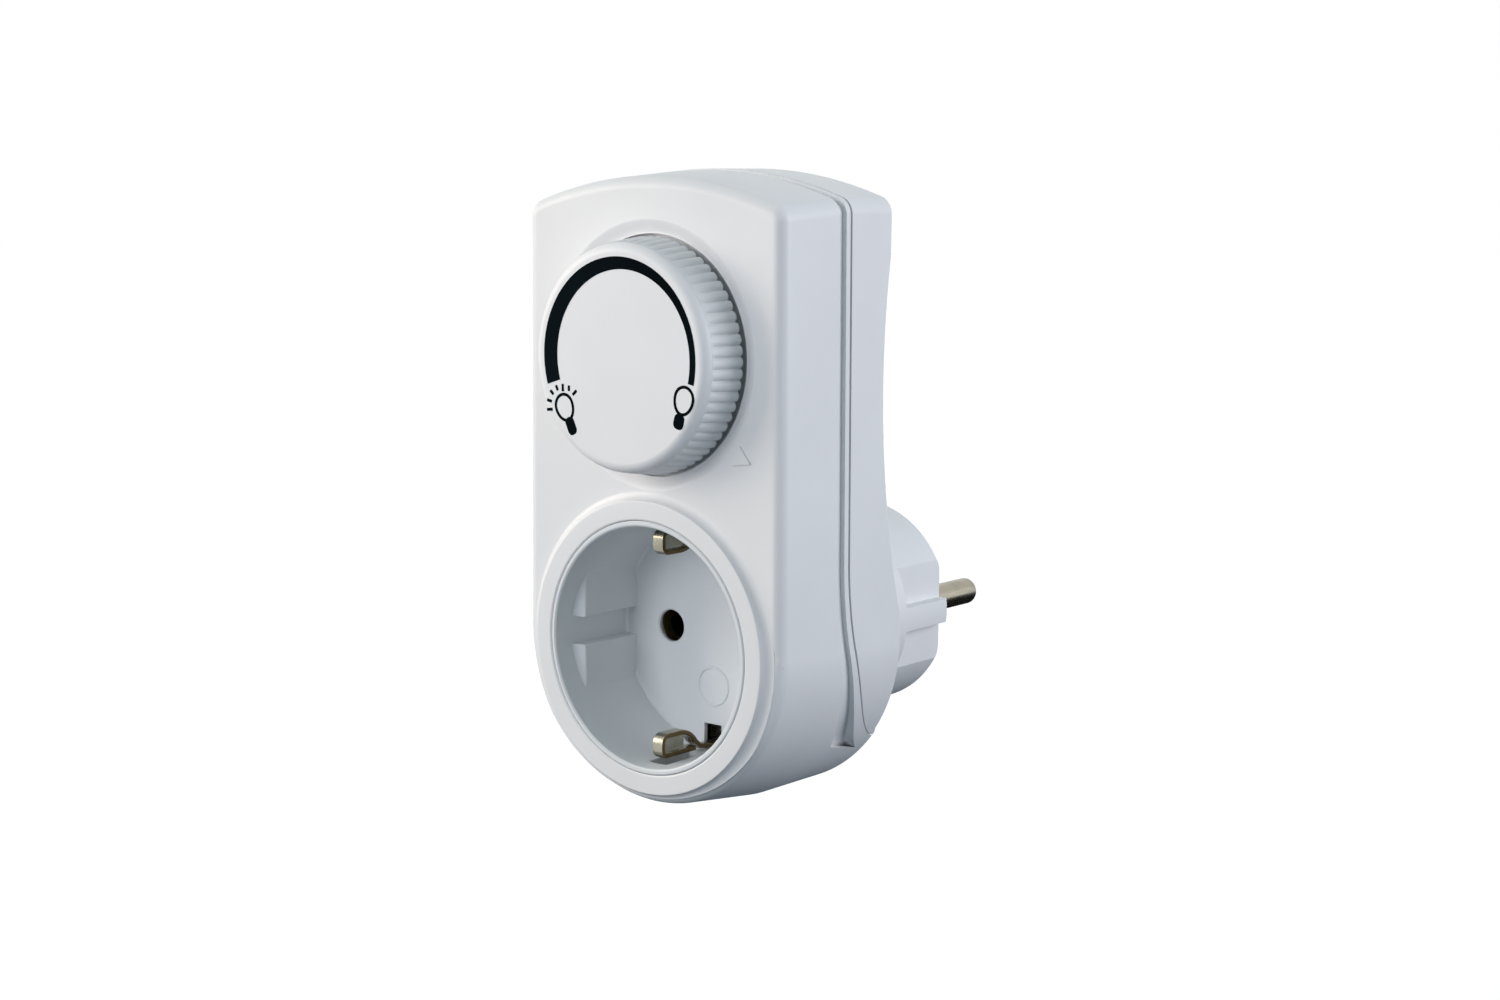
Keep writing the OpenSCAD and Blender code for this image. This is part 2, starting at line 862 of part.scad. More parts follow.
module bar_x(r, x0, x1, d, z) {
    translate([x0, dep(d), z]) rotate([0, 90, 0]) cylinder(r = r, h = x1 - x0);
}

module choke_core() {
    color("black") bar_x(choke_bore_r, right_x0 + 2, right_x1, board_back + choke_r, choke_z);
}

module choke_winding() {
    x0 = right_x0 + 4;
    x1 = right_x1 - 2;
    color("peru") difference() {
        bar_x(choke_r, x0, x1, board_back + choke_r, choke_z);
        bar_x(choke_bore_r + 0.02, x0 - over, x1 + over, board_back + choke_r, choke_z);
    }
}

module filter_capacitor() {
    color("gold")
        block(right_x0 + 1, right_x1 - pass, board_back, board_back + room, cap_foot, cap_top);
}

// Axial component: a round body on two bent leads
lead_r = 0.3;
lead_len = 1.8;
module axial(r, len, z) {
    x = -board_half + 6.5;
    d = board_back + r + 0.3;
    bar_x(r, x - len / 2, x + len / 2, d, z);
    bar_x(lead_r, x - len / 2 - lead_len, x + len / 2 + lead_len, d, z);
    for (s = [-1, 1])
        rod(lead_r, board_back, d, x + s * (len / 2 + lead_len - lead_r), z);
}

resistor_r = 1.25;
resistor_zs = [board_foot + 7.4, board_foot + 11.4];
diac_r = 1;
diac_z = resistor_zs[1] + resistor_r + diac_r + 0.95;
timing_z = diac_z + diac_r + 0.6;
module resistors() {
    color("burlywood") for (z = resistor_zs) axial(resistor_r, 6.5, z);
}

module diac() {
    color("royalblue") axial(diac_r, 4.2, diac_z);
}

module timing_capacitor() {
    color("firebrick")
        block(-board_half + 2.5, -board_half + 9.5, board_back, board_back + 5.5, timing_z, timing_z + 2.6);
}

module fuse() {
    color("azure") bar_x(fuse_r, right_x0, right_x1, fuse_depth, fuse_z);
}

// Two sprung clips that hold the caps of the fuse
module fuse_clips() {
    clip_len = 5;
    inset = 0.8;
    color(nickel) for (x = [right_x0 + inset, right_x1 - inset - clip_len]) difference() {
        block(
            x, x + clip_len, board_back, fuse_depth + 1.8, fuse_z - fuse_r - inset, fuse_z + fuse_r + inset
        );
        bar_x(fuse_r + 0.02, x - over, x + clip_len + over, fuse_depth, fuse_z);
        block(
            x - over, x + clip_len + over, fuse_depth, fuse_depth + fuse_r + over, fuse_z - fuse_r + 0.6,
            fuse_z + fuse_r - 0.6
        );
    }
}

module pot_body() {
    color("slategray") difference() {
        rod(can_r, can_front, board_depth, 0, knob_z);
        rod(can_r - can_wall, can_front + can_wall, can_back_in, 0, knob_z);
        rod(shaft_r + 0.2, can_front - over, can_front + can_wall + over, 0, knob_z);
    }
}

module pot_track() {
    color("black") difference() {
        rod(can_r - can_wall - fit, can_back_in - track_t, can_back_in, 0, knob_z);
        rod(shaft_r + 0.6, can_back_in - track_t - over, can_back_in + over, 0, knob_z);
    }
}

module pot_bushing() {
    color(brass) difference() {
        union() {
            rod(bushing_r, bushing_front, can_front, 0, knob_z);
            rod(can_r - 2, face_in, can_front, 0, knob_z);
        }
        rod(shaft_r + shaft_gap, bushing_front - over, can_front + over, 0, knob_z);
    }
}

module pot_washer() {
    color(nickel) difference() {
        rod(bushing_r + 2.4, dish_floor - washer_t, dish_floor, 0, knob_z);
        rod(bushing_r + fit, dish_floor - washer_t - over, dish_floor + over, 0, knob_z);
    }
}

module pot_nut() {
    back = dish_floor - washer_t;
    color(nickel) difference() {
        translate([0, dep(back), knob_z]) rotate([90, 0, 0])
            cylinder(r = bushing_r + 2.1, h = nut_t, $fn = 6);
        rod(bushing_r + 0.05, back - nut_t - over, back + over, 0, knob_z);
    }
}

module pot_shaft() {
    color("gray") rod(shaft_r, knob_in, wiper_depth + wiper_t + 0.6, 0, knob_z);
}

module pot_wiper() {
    brush = can_r - can_wall - 1.8;
    color("saddlebrown") difference() {
        union() {
            rod(can_r - can_wall - 0.6, wiper_depth, wiper_depth + wiper_t, 0, knob_z);
            block(
                -0.8, 0.8, wiper_depth + wiper_t - 0.1, can_back_in - track_t - 0.3,
                knob_z - brush - 0.8, knob_z - brush + 0.8
            );
        }
        rod(shaft_r + 0.01, wiper_depth - over, wiper_depth + wiper_t + over, 0, knob_z);
    }
}

// Ribbed skirt of the knob: the ribs are deepest at the base and run out towards the front
module knob_skirt() {
    core = knob_r - rib_depth;
    len = knob_base - knob_face - knob_edge;
    steps = 6;
    star = [for (i = [0:ribs * steps - 1])
        let (a = 360 * i / (ribs * steps), r = core + rib_depth * pow(cos(180 * i / steps), 2))
        [r * cos(a), r * sin(a)]];
    translate([0, dep(knob_base), knob_z]) rotate([90, 0, 0])
        linear_extrude(len, scale = (core - 0.2) / knob_r) polygon(star);
}

module knob() {
    core = knob_r - rib_depth - 0.1;
    front = knob_face + knob_edge;
    hub_back = bushing_front - pass;
    rim = arc(core - knob_edge, front, knob_edge, 0, -90, 6);
    color(white_plastic) difference() {
        union() {
            turned(concat([[0, knob_base], [core, knob_base]], rim, [[0, knob_face]]), knob_z);
            knob_skirt();
        }
        difference() {
            rod(core - knob_wall, knob_in, knob_base + over, 0, knob_z);
            rod(shaft_r + 2, knob_in - over, hub_back, 0, knob_z);
        }
        rod(shaft_r + 0.01, knob_in, hub_back + over, 0, knob_z);
    }
}

module housing_screws() {
    color(nickel) at_screws() {
        rod(screw_head_r, screw_seat, screw_seat + screw_head_t);
        rod(screw_r, screw_seat - screw_len, screw_seat + 0.1);
    }
}

front_cover();
rear_cover();
socket_insert();
earth_clip_top();
earth_clip_bottom();
earth_bridge();
plug_earth_top();
plug_earth_bottom();
plug_pin_left();
plug_pin_right();
pin_carrier();
socket_contact_left();
socket_contact_right();
contact_retainer();
retainer_screws();
neutral_busbar();
live_in_strip();
live_out_strip();
circuit_board();
board_screws();
triac();
triac_screw();
triac_nut();
heat_sink();
choke_core();
choke_winding();
filter_capacitor();
timing_capacitor();
diac();
resistors();
fuse();
fuse_clips();
pot_body();
pot_track();
pot_bushing();
pot_washer();
pot_nut();
pot_shaft();
pot_wiper();
knob();
housing_screws();
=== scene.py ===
"""The outside of a plug-in dimmer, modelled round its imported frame.

Sizes in the code are millimetres, apart from those of the stage, which are metres. Depths are counted
backwards from the rim of the outlet.
"""

import json
import math
from contextlib import contextmanager
from types import SimpleNamespace

import bmesh
import bpy
from bpy.props import FloatProperty, FloatVectorProperty, IntProperty, PointerProperty
from bpy.types import Operator, Panel, PropertyGroup
from mathutils import Matrix, Vector


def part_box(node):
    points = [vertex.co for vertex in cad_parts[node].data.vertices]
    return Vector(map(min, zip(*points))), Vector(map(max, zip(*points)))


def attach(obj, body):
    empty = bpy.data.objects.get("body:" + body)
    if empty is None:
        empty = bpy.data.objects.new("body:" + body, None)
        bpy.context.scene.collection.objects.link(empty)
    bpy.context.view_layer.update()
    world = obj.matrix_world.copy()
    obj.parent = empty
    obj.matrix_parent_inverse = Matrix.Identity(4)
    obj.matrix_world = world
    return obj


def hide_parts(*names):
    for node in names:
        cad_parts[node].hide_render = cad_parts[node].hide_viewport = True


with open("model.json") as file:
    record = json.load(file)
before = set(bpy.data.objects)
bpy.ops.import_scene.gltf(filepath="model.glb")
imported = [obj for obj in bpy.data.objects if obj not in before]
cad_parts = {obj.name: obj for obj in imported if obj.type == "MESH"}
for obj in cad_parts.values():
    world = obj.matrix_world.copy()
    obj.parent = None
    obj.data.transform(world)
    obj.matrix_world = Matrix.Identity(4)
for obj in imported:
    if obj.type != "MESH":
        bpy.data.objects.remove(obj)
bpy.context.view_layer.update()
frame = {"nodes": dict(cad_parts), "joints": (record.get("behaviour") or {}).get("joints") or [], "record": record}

bl_info = {
    "name": "Plug-in dimmer",
    "version": (1, 0, 0),
    "blender": (4, 5, 0),
    "location": "View3D > Sidebar > Dimmer",
    "description": "Models the outside of a plug-in dimmer round its packed frame",
    "category": "Add Mesh",
}

MM = 0.001
QUARTER = math.pi / 2
SLOT_OF = {part["node"]: part["material_slot"] for part in frame["record"]["subparts"]}

# The outlet's rim in the frame, the depth of the plug's face and the height of the knob's axis
RIM_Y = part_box("socket_insert")[0].y
PLUG_FACE = -RIM_Y / MM
KNOB_Z = frame["joints"][0]["pos_m"][2] / MM

# How far a cutter goes past a surface, the play between two pieces, and what a test for a place allows
OVER = 1.0
FIT = 0.1
HAIR = 0.01
# How far the turned shapes on the front cover overlap its face
SINK = 0.03
# Limits beside, behind and above the case, for what has no end there
PAST_SIDE = 33
PAST_BACK = 72
PAST_TOP = 92
# Radius of the screw bosses, how far behind the seam they meet, and how far before the waist screws sit
BOSS = 3.9
BOSS_MEET = 0.2
SCREW_SINK = 3.2
# How far the pins reach into the plug, and the steps of the knob's circle for each rib
PIN_ROOT = 14.5
RIB_STEPS = 8
# How far the print stands out of the knob's face and reaches into it
PRINT_OUT = 0.04
PRINT_IN = 0.02


def width_of(node):
    low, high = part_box(node)
    return (high.x - low.x) / MM


def length(name, default, description):
    """A property for a length, whose default is given in millimetres."""
    return FloatProperty(
        name=name, description=description, default=default * MM, min=0.0, unit="LENGTH", precision=5
    )


def tint(name, default, description):
    """A property for a colour."""
    return FloatVectorProperty(
        name=name, description=description, default=default, min=0.0, max=1.0, size=3, subtype="COLOR"
    )


class DimmerCase(PropertyGroup):
    """Sizes of the two covers."""

    width: length("Width", width_of("rear_cover"), "Width of the case")
    crown: length("Crown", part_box("rear_cover")[1].z / MM, "Height of the crown above the outlet axis")
    arch: length("Arch", 78.0, "Radius of the arched top")
    corner: length("Corner", 3.0, "Radius of the two top corners")
    lean: length("Lean", 0.5, "Lean of each side towards the top")
    edge: length("Front edge", 2.0, "Rounding of the front edge")
    rear_edge: length("Rear edge", 0.7, "Rounding of the rear edge")
    draft: length("Draft", 0.4, "Draw-in of the sides at the front")
    crown_draft: length("Crown draft", 0.9, "Further draw-in of the crown at the front")
    foot_draft: length("Foot draft", 1.6, "Further draw-in of the foot at the front")
    face: length("Face", 1.2, "Distance of the front face behind the outlet rim")
    wall: length("Wall", 2.2, "Wall of the covers")
    front_wall: length("Front wall", 2.6, "Thickness of the front wall")
    back: length("Back", 33.0, "Depth of the lower back")
    waist: length("Waist", 27.7, "Depth of the upper back at its waist")
    waist_z: length("Waist height", 42.0, "Height of the waist")
    hollow: length("Hollow", 135.0, "Radius of the hollow upper back")
    top_rise: length("Top rise", 1.9, "How far the top of the back stands behind the waist")


class DimmerSeam(PropertyGroup):
    """Sizes of the seam between the covers and of the step in front of it."""

    depth: length("Seam depth", 18.0, "Depth of the upper seam")
    gap: length("Seam gap", 0.5, "Width of the seam")
    bend: length("Bend height", 15.0, "Height where the seam starts to sweep back")
    reach: length("Seam reach", 18.0, "Reach of the seam's sweep")
    drop: length("Seam drop", 32.5, "Drop of the seam's sweep")
    step: length("Step depth", 15.4, "Depth of the step in front of the seam")
    step_reach: length("Step reach", 11.0, "Reach of the step's sweep")
    step_drop: length("Step drop", 36.0, "Drop of the step's sweep")
    ledge: length("Ledge", 17.0, "Distance of the ledge under the band below the outlet axis")
    band: length("Band", 0.8, "How far the band behind the step is set in")
    scoop: length("Scoop", 2.4, "How far the foot of the band is scooped out")
    lip: length("Lip", 1.0, "Width of the raised lip in front of the seam")
    lip_drop: length("Lip drop", 35.5, "Drop of the sweep of the lip")
    foot_gap: length("Foot gap", 0.1, "Width of the seam at its foot")
    lap: length("Lap", 1.2, "Thickness of the lap that closes the seam from inside")
    lap_reach: length("Lap reach", 2.2, "Length of the lap")


class DimmerOutlet(PropertyGroup):
    """Sizes of the outlet."""

    well: length("Well", 20.0, "Radius of the well")
    depth: length("Well depth", 17.6, "Depth of the well")
    rim: length("Rim", 21.0, "Outer radius of the rim")
    cup: length("Cup", 21.6, "Outer radius of the insert behind the front wall")
    flange: length("Flange", width_of("socket_insert") / 2, "Radius of the flange of the insert")
    floor: length("Floor", 3.0, "Thickness of the floor")
    collar: length("Collar", 26.2, "Radius of the foot of the raised collar")
    slope: length("Slope", 1.8, "Width of the hollow slope round the collar")
    skin: length("Skin", 0.8, "Thickness of the floor at the pin holes and clip slots")
    pin_hole: length("Pin hole", 2.75, "Radius of the pin holes")
    guide: length("Guide flat", 17.3, "Distance of the guide flats from the middle")
    clip_width: length("Clip width", 2.1, "Width of the earth clips")
    clip_crest: length("Clip crest", 15.0, "Distance of the clip crests from the outlet axis")
    strip: length("Strip", 0.8, "Thickness of the earth clips")


class DimmerPlug(PropertyGroup):
    """Sizes of the plug."""

    radius: length("Radius", 18.2, "Radius of the plug")
    flat: length("Flat", 15.9, "Distance of the side flats from the middle")
    flat_half: length("Flat half", 9.0, "Half height of the side flats")
    flat_length: length("Flat length", 13.0, "Length of the side flats")
    tongue: length("Tongue", 2.1, "Half width of the tongue on each flat")
    edge: length("Edge", 1.2, "Rounding of the edge of the plug face")
    pitch: length("Pin pitch", 19.0, "Distance between the two pins")
    pin: length("Pin radius", 2.4, "Radius of the pins")
    pin_length: length("Pin length", 19.0, "Length of the pins outside the plug")
    earth_z: length("Earth height", 16.5, "Distance of the earth strips from the plug axis")
    earth_width: length("Earth width", 6.0, "Width of the earth strips")


class DimmerKnob(PropertyGroup):
    """Sizes of the knob."""

    radius: length("Radius", width_of("knob") / 2, "Radius over the ribs at the base")
    core: length("Core", 18.4, "Radius at the front edge, where the ribs have run out")
    edge: length("Edge", 1.7, "Rounding of the front edge")
    wall: length("Wall", 1.6, "Wall of the knob")
    dish: length("Dish", 0.8, "Depth of the dish round the knob")
    moat: length("Moat", 1.4, "Depth of the groove under the rim of the knob")
    rib: length("Rib", 0.55, "Height of the ribs")
    ribs: IntProperty(name="Ribs", description="Number of ribs", default=64, min=12, max=120)


class DimmerColours(PropertyGroup):
    """Colours of the finishes that show."""

    case_plastic: tint("Case", (0.80, 0.81, 0.82), "Colour of the two covers")
    knob_plastic: tint("Knob", (0.82, 0.83, 0.84), "Colour of the knob")
    insert_plastic: tint("Insert", (0.74, 0.77, 0.79), "Colour of the outlet insert")
    nickel: tint("Nickel", (0.36, 0.34, 0.27), "Colour of the pins and earth clips")
    # The brass is tarnished, and darkened further as painted shade in the pin holes and on the clips' cut edges
    brass: tint("Brass", (0.14, 0.10, 0.045), "Colour of the tarnished contacts")
    steel: tint("Steel", (0.58, 0.58, 0.57), "Colour of the screws")
    print_black: tint("Print", (0.006, 0.010, 0.012), "Colour of the printed scale")


def in_mm(group):
    """The lengths of a property group in millimetres."""
    values = {}
    for name in group.__annotations__:
        value = getattr(group, name)
        values[name] = value if isinstance(value, int) else value / MM
    return SimpleNamespace(**values)


def read_sizes(context, *groups):
    """The lengths of several of the scene's property groups."""
    return [in_mm(getattr(context.scene, f"dimmer_{group}")) for group in groups]


def arc(x, y, across, along, steps):
    """Points of a quarter of an oval round a middle, from its end across to its end along."""
    angles = [QUARTER * step / steps for step in range(steps + 1)]
    return [(x + across * math.cos(angle), y + along * math.sin(angle)) for angle in angles]


def at(x, depth, z):
    """A point of the frame from width, depth and height in millimetres."""
    return Vector((x * MM, RIM_Y + depth * MM, z * MM))


def only(piece):
    """Select one piece alone and make it active."""
    bpy.ops.object.select_all(action="DESELECT")
    piece.select_set(True)
    bpy.context.view_layer.objects.active = piece


@contextmanager
def editing(piece, kind="VERT"):
    """Edit mode on one piece, with nothing selected."""
    only(piece)
    bpy.ops.object.mode_set(mode="EDIT")
    bpy.ops.mesh.select_mode(type=kind)
    bpy.ops.mesh.select_all(action="DESELECT")
    yield
    bpy.ops.object.mode_set(mode="OBJECT")


def pick(piece, kind, test):
    """Select the vertices, edges or faces that pass a test, and nothing else."""
    shape = bmesh.from_edit_mesh(piece.data)
    bpy.ops.mesh.select_mode(type=kind)
    bpy.ops.mesh.select_all(action="DESELECT")
    parts = {"VERT": shape.verts, "EDGE": shape.edges, "FACE": shape.faces}[kind]
    found = [part for part in parts if test(part)]
    if not found:
        raise RuntimeError(f"nothing to select on {piece.name}")
    for part in found:
        part.select_set(True)
    shape.select_flush_mode()
    bmesh.update_edit_mesh(piece.data)


def fresh(name, add, place, turn=(0, 0, 0), scale=(1, 1, 1), **size):
    """Add a primitive at its place and settle its turn and scale in the mesh."""
    bpy.ops.object.select_all(action="DESELECT")
    add(location=place, rotation=turn, **size)
    piece = bpy.context.object
    piece.name = name
    piece.data.name = name
    piece.scale = scale
    bpy.ops.object.transform_apply(location=True, rotation=True, scale=True)
    return piece


def rod(name, radius, d0, d1, x=0.0, z=0.0, steps=96):
    """Round bar along the depth."""
    return fresh(
        name, bpy.ops.mesh.primitive_cylinder_add, at(x, (d0 + d1) / 2, z), (QUARTER, 0, 0),
        vertices=steps, radius=radius * MM, depth=(d1 - d0) * MM,
    )


def bar(name, half, d, z, depth_r, height_r, steps):
    """Oval bar right across the width."""
    return fresh(
        name, bpy.ops.mesh.primitive_cylinder_add, at(0, d, z), (0, QUARTER, 0), (height_r, depth_r, 1),
        vertices=steps, radius=MM, depth=2 * half * MM,
    )


def block(name, x0, x1, d0, d1, z0, z1):
    """Box given by its limits, those of width and height in either order."""
    middle = at((x0 + x1) / 2, (d0 + d1) / 2, (z0 + z1) / 2)
    size = (abs(x1 - x0) * MM, (d1 - d0) * MM, abs(z1 - z0) * MM)
    return fresh(name, bpy.ops.mesh.primitive_cube_add, middle, scale=size, size=1)


def lathe(name, rings, x=0.0, z=0.0, steps=128, hollow=False):
    """Turned piece: a circle carried from ring to ring, each given by its radius and depth.

    A hollow one joins its last ring to its first one.
    """
    radius, depth = rings[0]
    piece = fresh(
        name, bpy.ops.mesh.primitive_circle_add, at(x, depth, z), (QUARTER, 0, 0),
        vertices=steps, radius=radius * MM, fill_type="NOTHING",
    )
    with editing(piece, "EDGE"):
        bpy.ops.mesh.select_all(action="SELECT")
        if not hollow:
            bpy.ops.mesh.edge_face_add()
            bpy.ops.mesh.select_all(action="SELECT")
            bpy.ops.mesh.duplicate()
            bpy.ops.mesh.delete(type="ONLY_FACE")
            bpy.ops.mesh.select_all(action="DESELECT")
            pick(piece, "EDGE", lambda edge: not edge.link_faces)
        for (r0, d0), (r1, d1) in zip(rings, rings[1:]):
            bpy.ops.mesh.extrude_edges_move(TRANSFORM_OT_translate={"value": (0, (d1 - d0) * MM, 0)})
            bpy.ops.transform.resize(value=(r1 / r0, 1, r1 / r0), center_override=at(x, d1, z))
        if hollow:
            pick(piece, "EDGE", lambda edge: len(edge.link_faces) == 1)
            bpy.ops.mesh.bridge_edge_loops()
        else:
            bpy.ops.mesh.edge_face_add()
        bpy.ops.mesh.select_all(action="SELECT")
        bpy.ops.mesh.remove_doubles(threshold=1e-7)
        bpy.ops.mesh.normals_make_consistent(inside=False)
    return piece


def carve(piece, *cutters, way="DIFFERENCE"):
    """Cut pieces out of a piece, join them to it, or keep what they share, and remove them."""
    for cutter in cutters:
        only(piece)
        cut = piece.modifiers.new("cut", "BOOLEAN")
        cut.operation = way
        cut.solver = "MANIFOLD"
        cut.object = cutter
        bpy.ops.object.modifier_apply(modifier=cut.name)
        bpy.data.objects.remove(cutter)
    return piece


def gather(name, pieces):
    """Join pieces that don't touch into one mesh."""
    only(pieces[0])
    for piece in pieces[1:]:
        piece.select_set(True)
    bpy.ops.object.join()
    pieces[0].name = name
    return pieces[0]


def round_edges(piece, width, test, segments=3):
    """Round the edges that pass a test."""
    with editing(piece, "EDGE"):
        pick(piece, "EDGE", test)
        bpy.ops.mesh.bevel(offset=width * MM, segments=segments, profile=0.5, affect="EDGES")


def soften(piece, width, segments=2, angle=40):
    """Break all sharp edges a little."""
    only(piece)
    broken = piece.modifiers.new("broken edges", "BEVEL")
    broken.width = width * MM
    broken.segments = segments
    broken.limit_method = "ANGLE"
    broken.angle_limit = math.radians(angle)
    broken.harden_normals = False
    bpy.ops.object.modifier_apply(modifier=broken.name)


def smooth(piece, angle=32):
    """Shade the curved surfaces smooth and keep the flat ones flat."""
    only(piece)
    bpy.ops.object.shade_smooth_by_angle(angle=math.radians(angle))
    weighted = piece.modifiers.new("weighted", "WEIGHTED_NORMAL")
    weighted.keep_sharp = True
    bpy.ops.object.modifier_apply(modifier=weighted.name)


def hand_over(piece, body, slot, *nodes):
    """Give a finished piece its finish and its body, and let it stand for its nodes."""
    piece.data.materials.clear()
    piece.data.materials.append(finish_of(slot))
    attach(piece, body)
    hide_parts(*nodes)


# Finishes


def wire(tree, kind, inputs=None, **settings):
    """Add a node with its settings; an input is a value or the socket that feeds it."""
    node = tree.nodes.new(kind)
    for name, value in settings.items():
        setattr(node, name, value)
    for name, value in (inputs or {}).items():
        if isinstance(value, bpy.types.NodeSocket):
            tree.links.new(value, node.inputs[name])
        else:
            node.inputs[name].default_value = value
    return node


VECTOR = "NodeSocketVector"
FLOAT = "NodeSocketFloat"
COLOUR = "NodeSocketColor"
SKIN_IN = [("Vector", VECTOR), ("Colour", COLOUR), ("Shade", COLOUR), ("Grain", FLOAT), ("Gloss", FLOAT)]
SKIN_OUT = [("Colour", COLOUR), ("Roughness", FLOAT), ("Height", FLOAT)]


def new_group(name):
    """An empty node group for a finish, and its input and output nodes."""
    tree = bpy.data.node_groups.new(name, "ShaderNodeTree")
    for label, kind in SKIN_IN:
        tree.interface.new_socket(label, in_out="INPUT", socket_type=kind)
    for label, kind in SKIN_OUT:
        tree.interface.new_socket(label, in_out="OUTPUT", socket_type=kind)
    return tree, tree.nodes.new("NodeGroupInput"), tree.nodes.new("NodeGroupOutput")


def blank(data):
    """The node tree of a new material or world, with nothing in it."""
    data.use_nodes = True
    data.node_tree.nodes.clear()
    return data.node_tree


def blend(tree, factor, a, b):
    """The colour between two colour sockets."""
    mix = wire(tree, "ShaderNodeMix", {"Factor": factor}, data_type="RGBA")
    ends = [socket for socket in mix.inputs if socket.type == "RGBA"]
    for source, end in zip((a, b), ends):
        tree.links.new(source, end)
    return next(socket for socket in mix.outputs if socket.type == "RGBA")


def noise(tree, vector, scale, detail):
    """The strength of a noise texture."""
    texture = wire(tree, "ShaderNodeTexNoise", {"Vector": vector, "Scale": scale, "Detail": detail})
    return texture.outputs["Fac"]


def wire_skin(tree, start, end, patches, limits, uneven, spread, height):
    """Wire up a finish: the shade where one noise is high, a gloss that follows another, and a height."""
    put = start.outputs
    low, high = limits
    share = wire(tree, "ShaderNodeMapRange", {"Value": patches, "From Min": low, "From Max": high})
    shade = blend(tree, share.outputs["Result"], put["Colour"], put["Shade"])
    gloss = wire(
        tree, "ShaderNodeMath", {0: uneven, 1: spread, 2: put["Gloss"]}, operation="MULTIPLY_ADD"
    )
    tree.links.new(shade, end.inputs["Colour"])
    tree.links.new(gloss.outputs[0], end.inputs["Roughness"])
    tree.links.new(height, end.inputs["Height"])


def moulded_skin():
    """Node group for moulded plastic: fine grain, faint flow marks and uneven gloss."""
    name = "moulded_skin"
    if name in bpy.data.node_groups:
        return bpy.data.node_groups[name]
    tree, start, end = new_group(name)
    vector = start.outputs["Vector"]
    grain = noise(tree, vector, scale=start.outputs["Grain"], detail=3.0)
    flow = noise(tree, vector, scale=46.0, detail=4.0)
    wire_skin(tree, start, end, flow, limits=(0.38, 0.66), uneven=flow, spread=0.16, height=grain)
    return tree


def drawn_metal():
    """Node group for sheet and wire: drawing marks, tarnish in patches and uneven gloss."""
    name = "drawn_metal"
    if name in bpy.data.node_groups:
        return bpy.data.node_groups[name]
    tree, start, end = new_group(name)
    vector = start.outputs["Vector"]
    drawn = wire(tree, "ShaderNodeMapping", {"Vector": vector, "Scale": (1.0, 0.06, 1.0)})
    marks = noise(tree, drawn.outputs["Vector"], scale=start.outputs["Grain"], detail=2.0)
    tarnish = noise(tree, vector, scale=260.0, detail=5.0)
    wire_skin(tree, start, end, tarnish, limits=(0.45, 0.75), uneven=marks, spread=0.2, height=marks)
    return tree


def slot_colour(slot):
    """Base colour of a slot, from the panel or else from the record."""
    colours = bpy.context.scene.dimmer_colours
    if hasattr(colours, slot):
        return tuple(getattr(colours, slot))
    row = next(row for row in frame["record"]["materials"] if row["slot"] == slot)
    return tuple(row["base_color"][:3])


# Each finish: group, shade against the colour, grain per metre, gloss, bump in millimetres, metal
PLASTIC = (moulded_skin, 0.965, 2600.0, 0.34, 0.004, 0.0)
MATT = (moulded_skin, 0.85, 1800.0, 0.48, 0.010, 0.0)
FINISHES = {
    "case_plastic": PLASTIC,
    "knob_plastic": (moulded_skin, 0.97, 2600.0, 0.34, 0.003, 0.0),
    "insert_plastic": (moulded_skin, 0.95, 2200.0, 0.32, 0.004, 0.0),
    "print_black": (moulded_skin, 0.6, 4000.0, 0.5, 0.004, 0.0),
    "nickel": (drawn_metal, 0.72, 3200.0, 0.16, 0.004, 1.0),
    "brass": (drawn_metal, 0.72, 3200.0, 0.13, 0.004, 1.0),
    "steel": (drawn_metal, 0.8, 2600.0, 0.24, 0.006, 1.0),
    "aluminium": (drawn_metal, 0.85, 2600.0, 0.3, 0.006, 1.0),
    "insulation": MATT,
    "board": (moulded_skin, 0.7, 900.0, 0.36, 0.012, 0.0),
    "ferrite": (moulded_skin, 0.6, 1400.0, 0.6, 0.03, 0.0),
    "enamelled_wire": (drawn_metal, 0.6, 900.0, 0.2, 0.05, 1.0),
    "black_resin": MATT,
    "capacitor_yellow": MATT,
    "capacitor_red": PLASTIC,
    "diac_blue": PLASTIC,
    "resistor_beige": PLASTIC,
    "fuse_glass": (moulded_skin, 0.98, 500.0, 0.02, 0.002, 0.0),
    "phenolic": MATT,
}


def finish_of(slot):
    """The material of a finish, made once, beside the frame's own plain one."""
    name = f"{slot}_finish"
    if name in bpy.data.materials:
        return bpy.data.materials[name]
    group, dark, grain, gloss, bump, metal = FINISHES[slot]
    colour = slot_colour(slot)
    material = bpy.data.materials.new(name)
    tree = blank(material)
    place = wire(tree, "ShaderNodeTexCoord")
    skin = wire(
        tree, "ShaderNodeGroup",
        {
            "Vector": place.outputs["Object"],
            "Colour": (*colour, 1.0),
            "Shade": (*(part * dark for part in colour), 1.0),
            "Grain": grain,
            "Gloss": gloss,
        },
        node_tree=group(),
    )
    relief = wire(
        tree, "ShaderNodeBump",
        {"Height": skin.outputs["Height"], "Distance": bump * MM, "Strength": 0.6},
    )
    shader = wire(
        tree, "ShaderNodeBsdfPrincipled",
        {
            "Base Color": skin.outputs["Colour"],
            "Roughness": skin.outputs["Roughness"],
            "Normal": relief.outputs["Normal"],
            "Metallic": metal,
        },
    )
    if slot == "fuse_glass":
        shader.inputs["Transmission Weight"].default_value = 0.9
    elif slot == "print_black":
        shader.inputs["Specular IOR Level"].default_value = 0.0
    elif not metal:
        shader.inputs["IOR"].default_value = 1.49
    wire(tree, "ShaderNodeOutputMaterial", {"Surface": shader.outputs["BSDF"]})
    return material


# Shapes that several pieces share


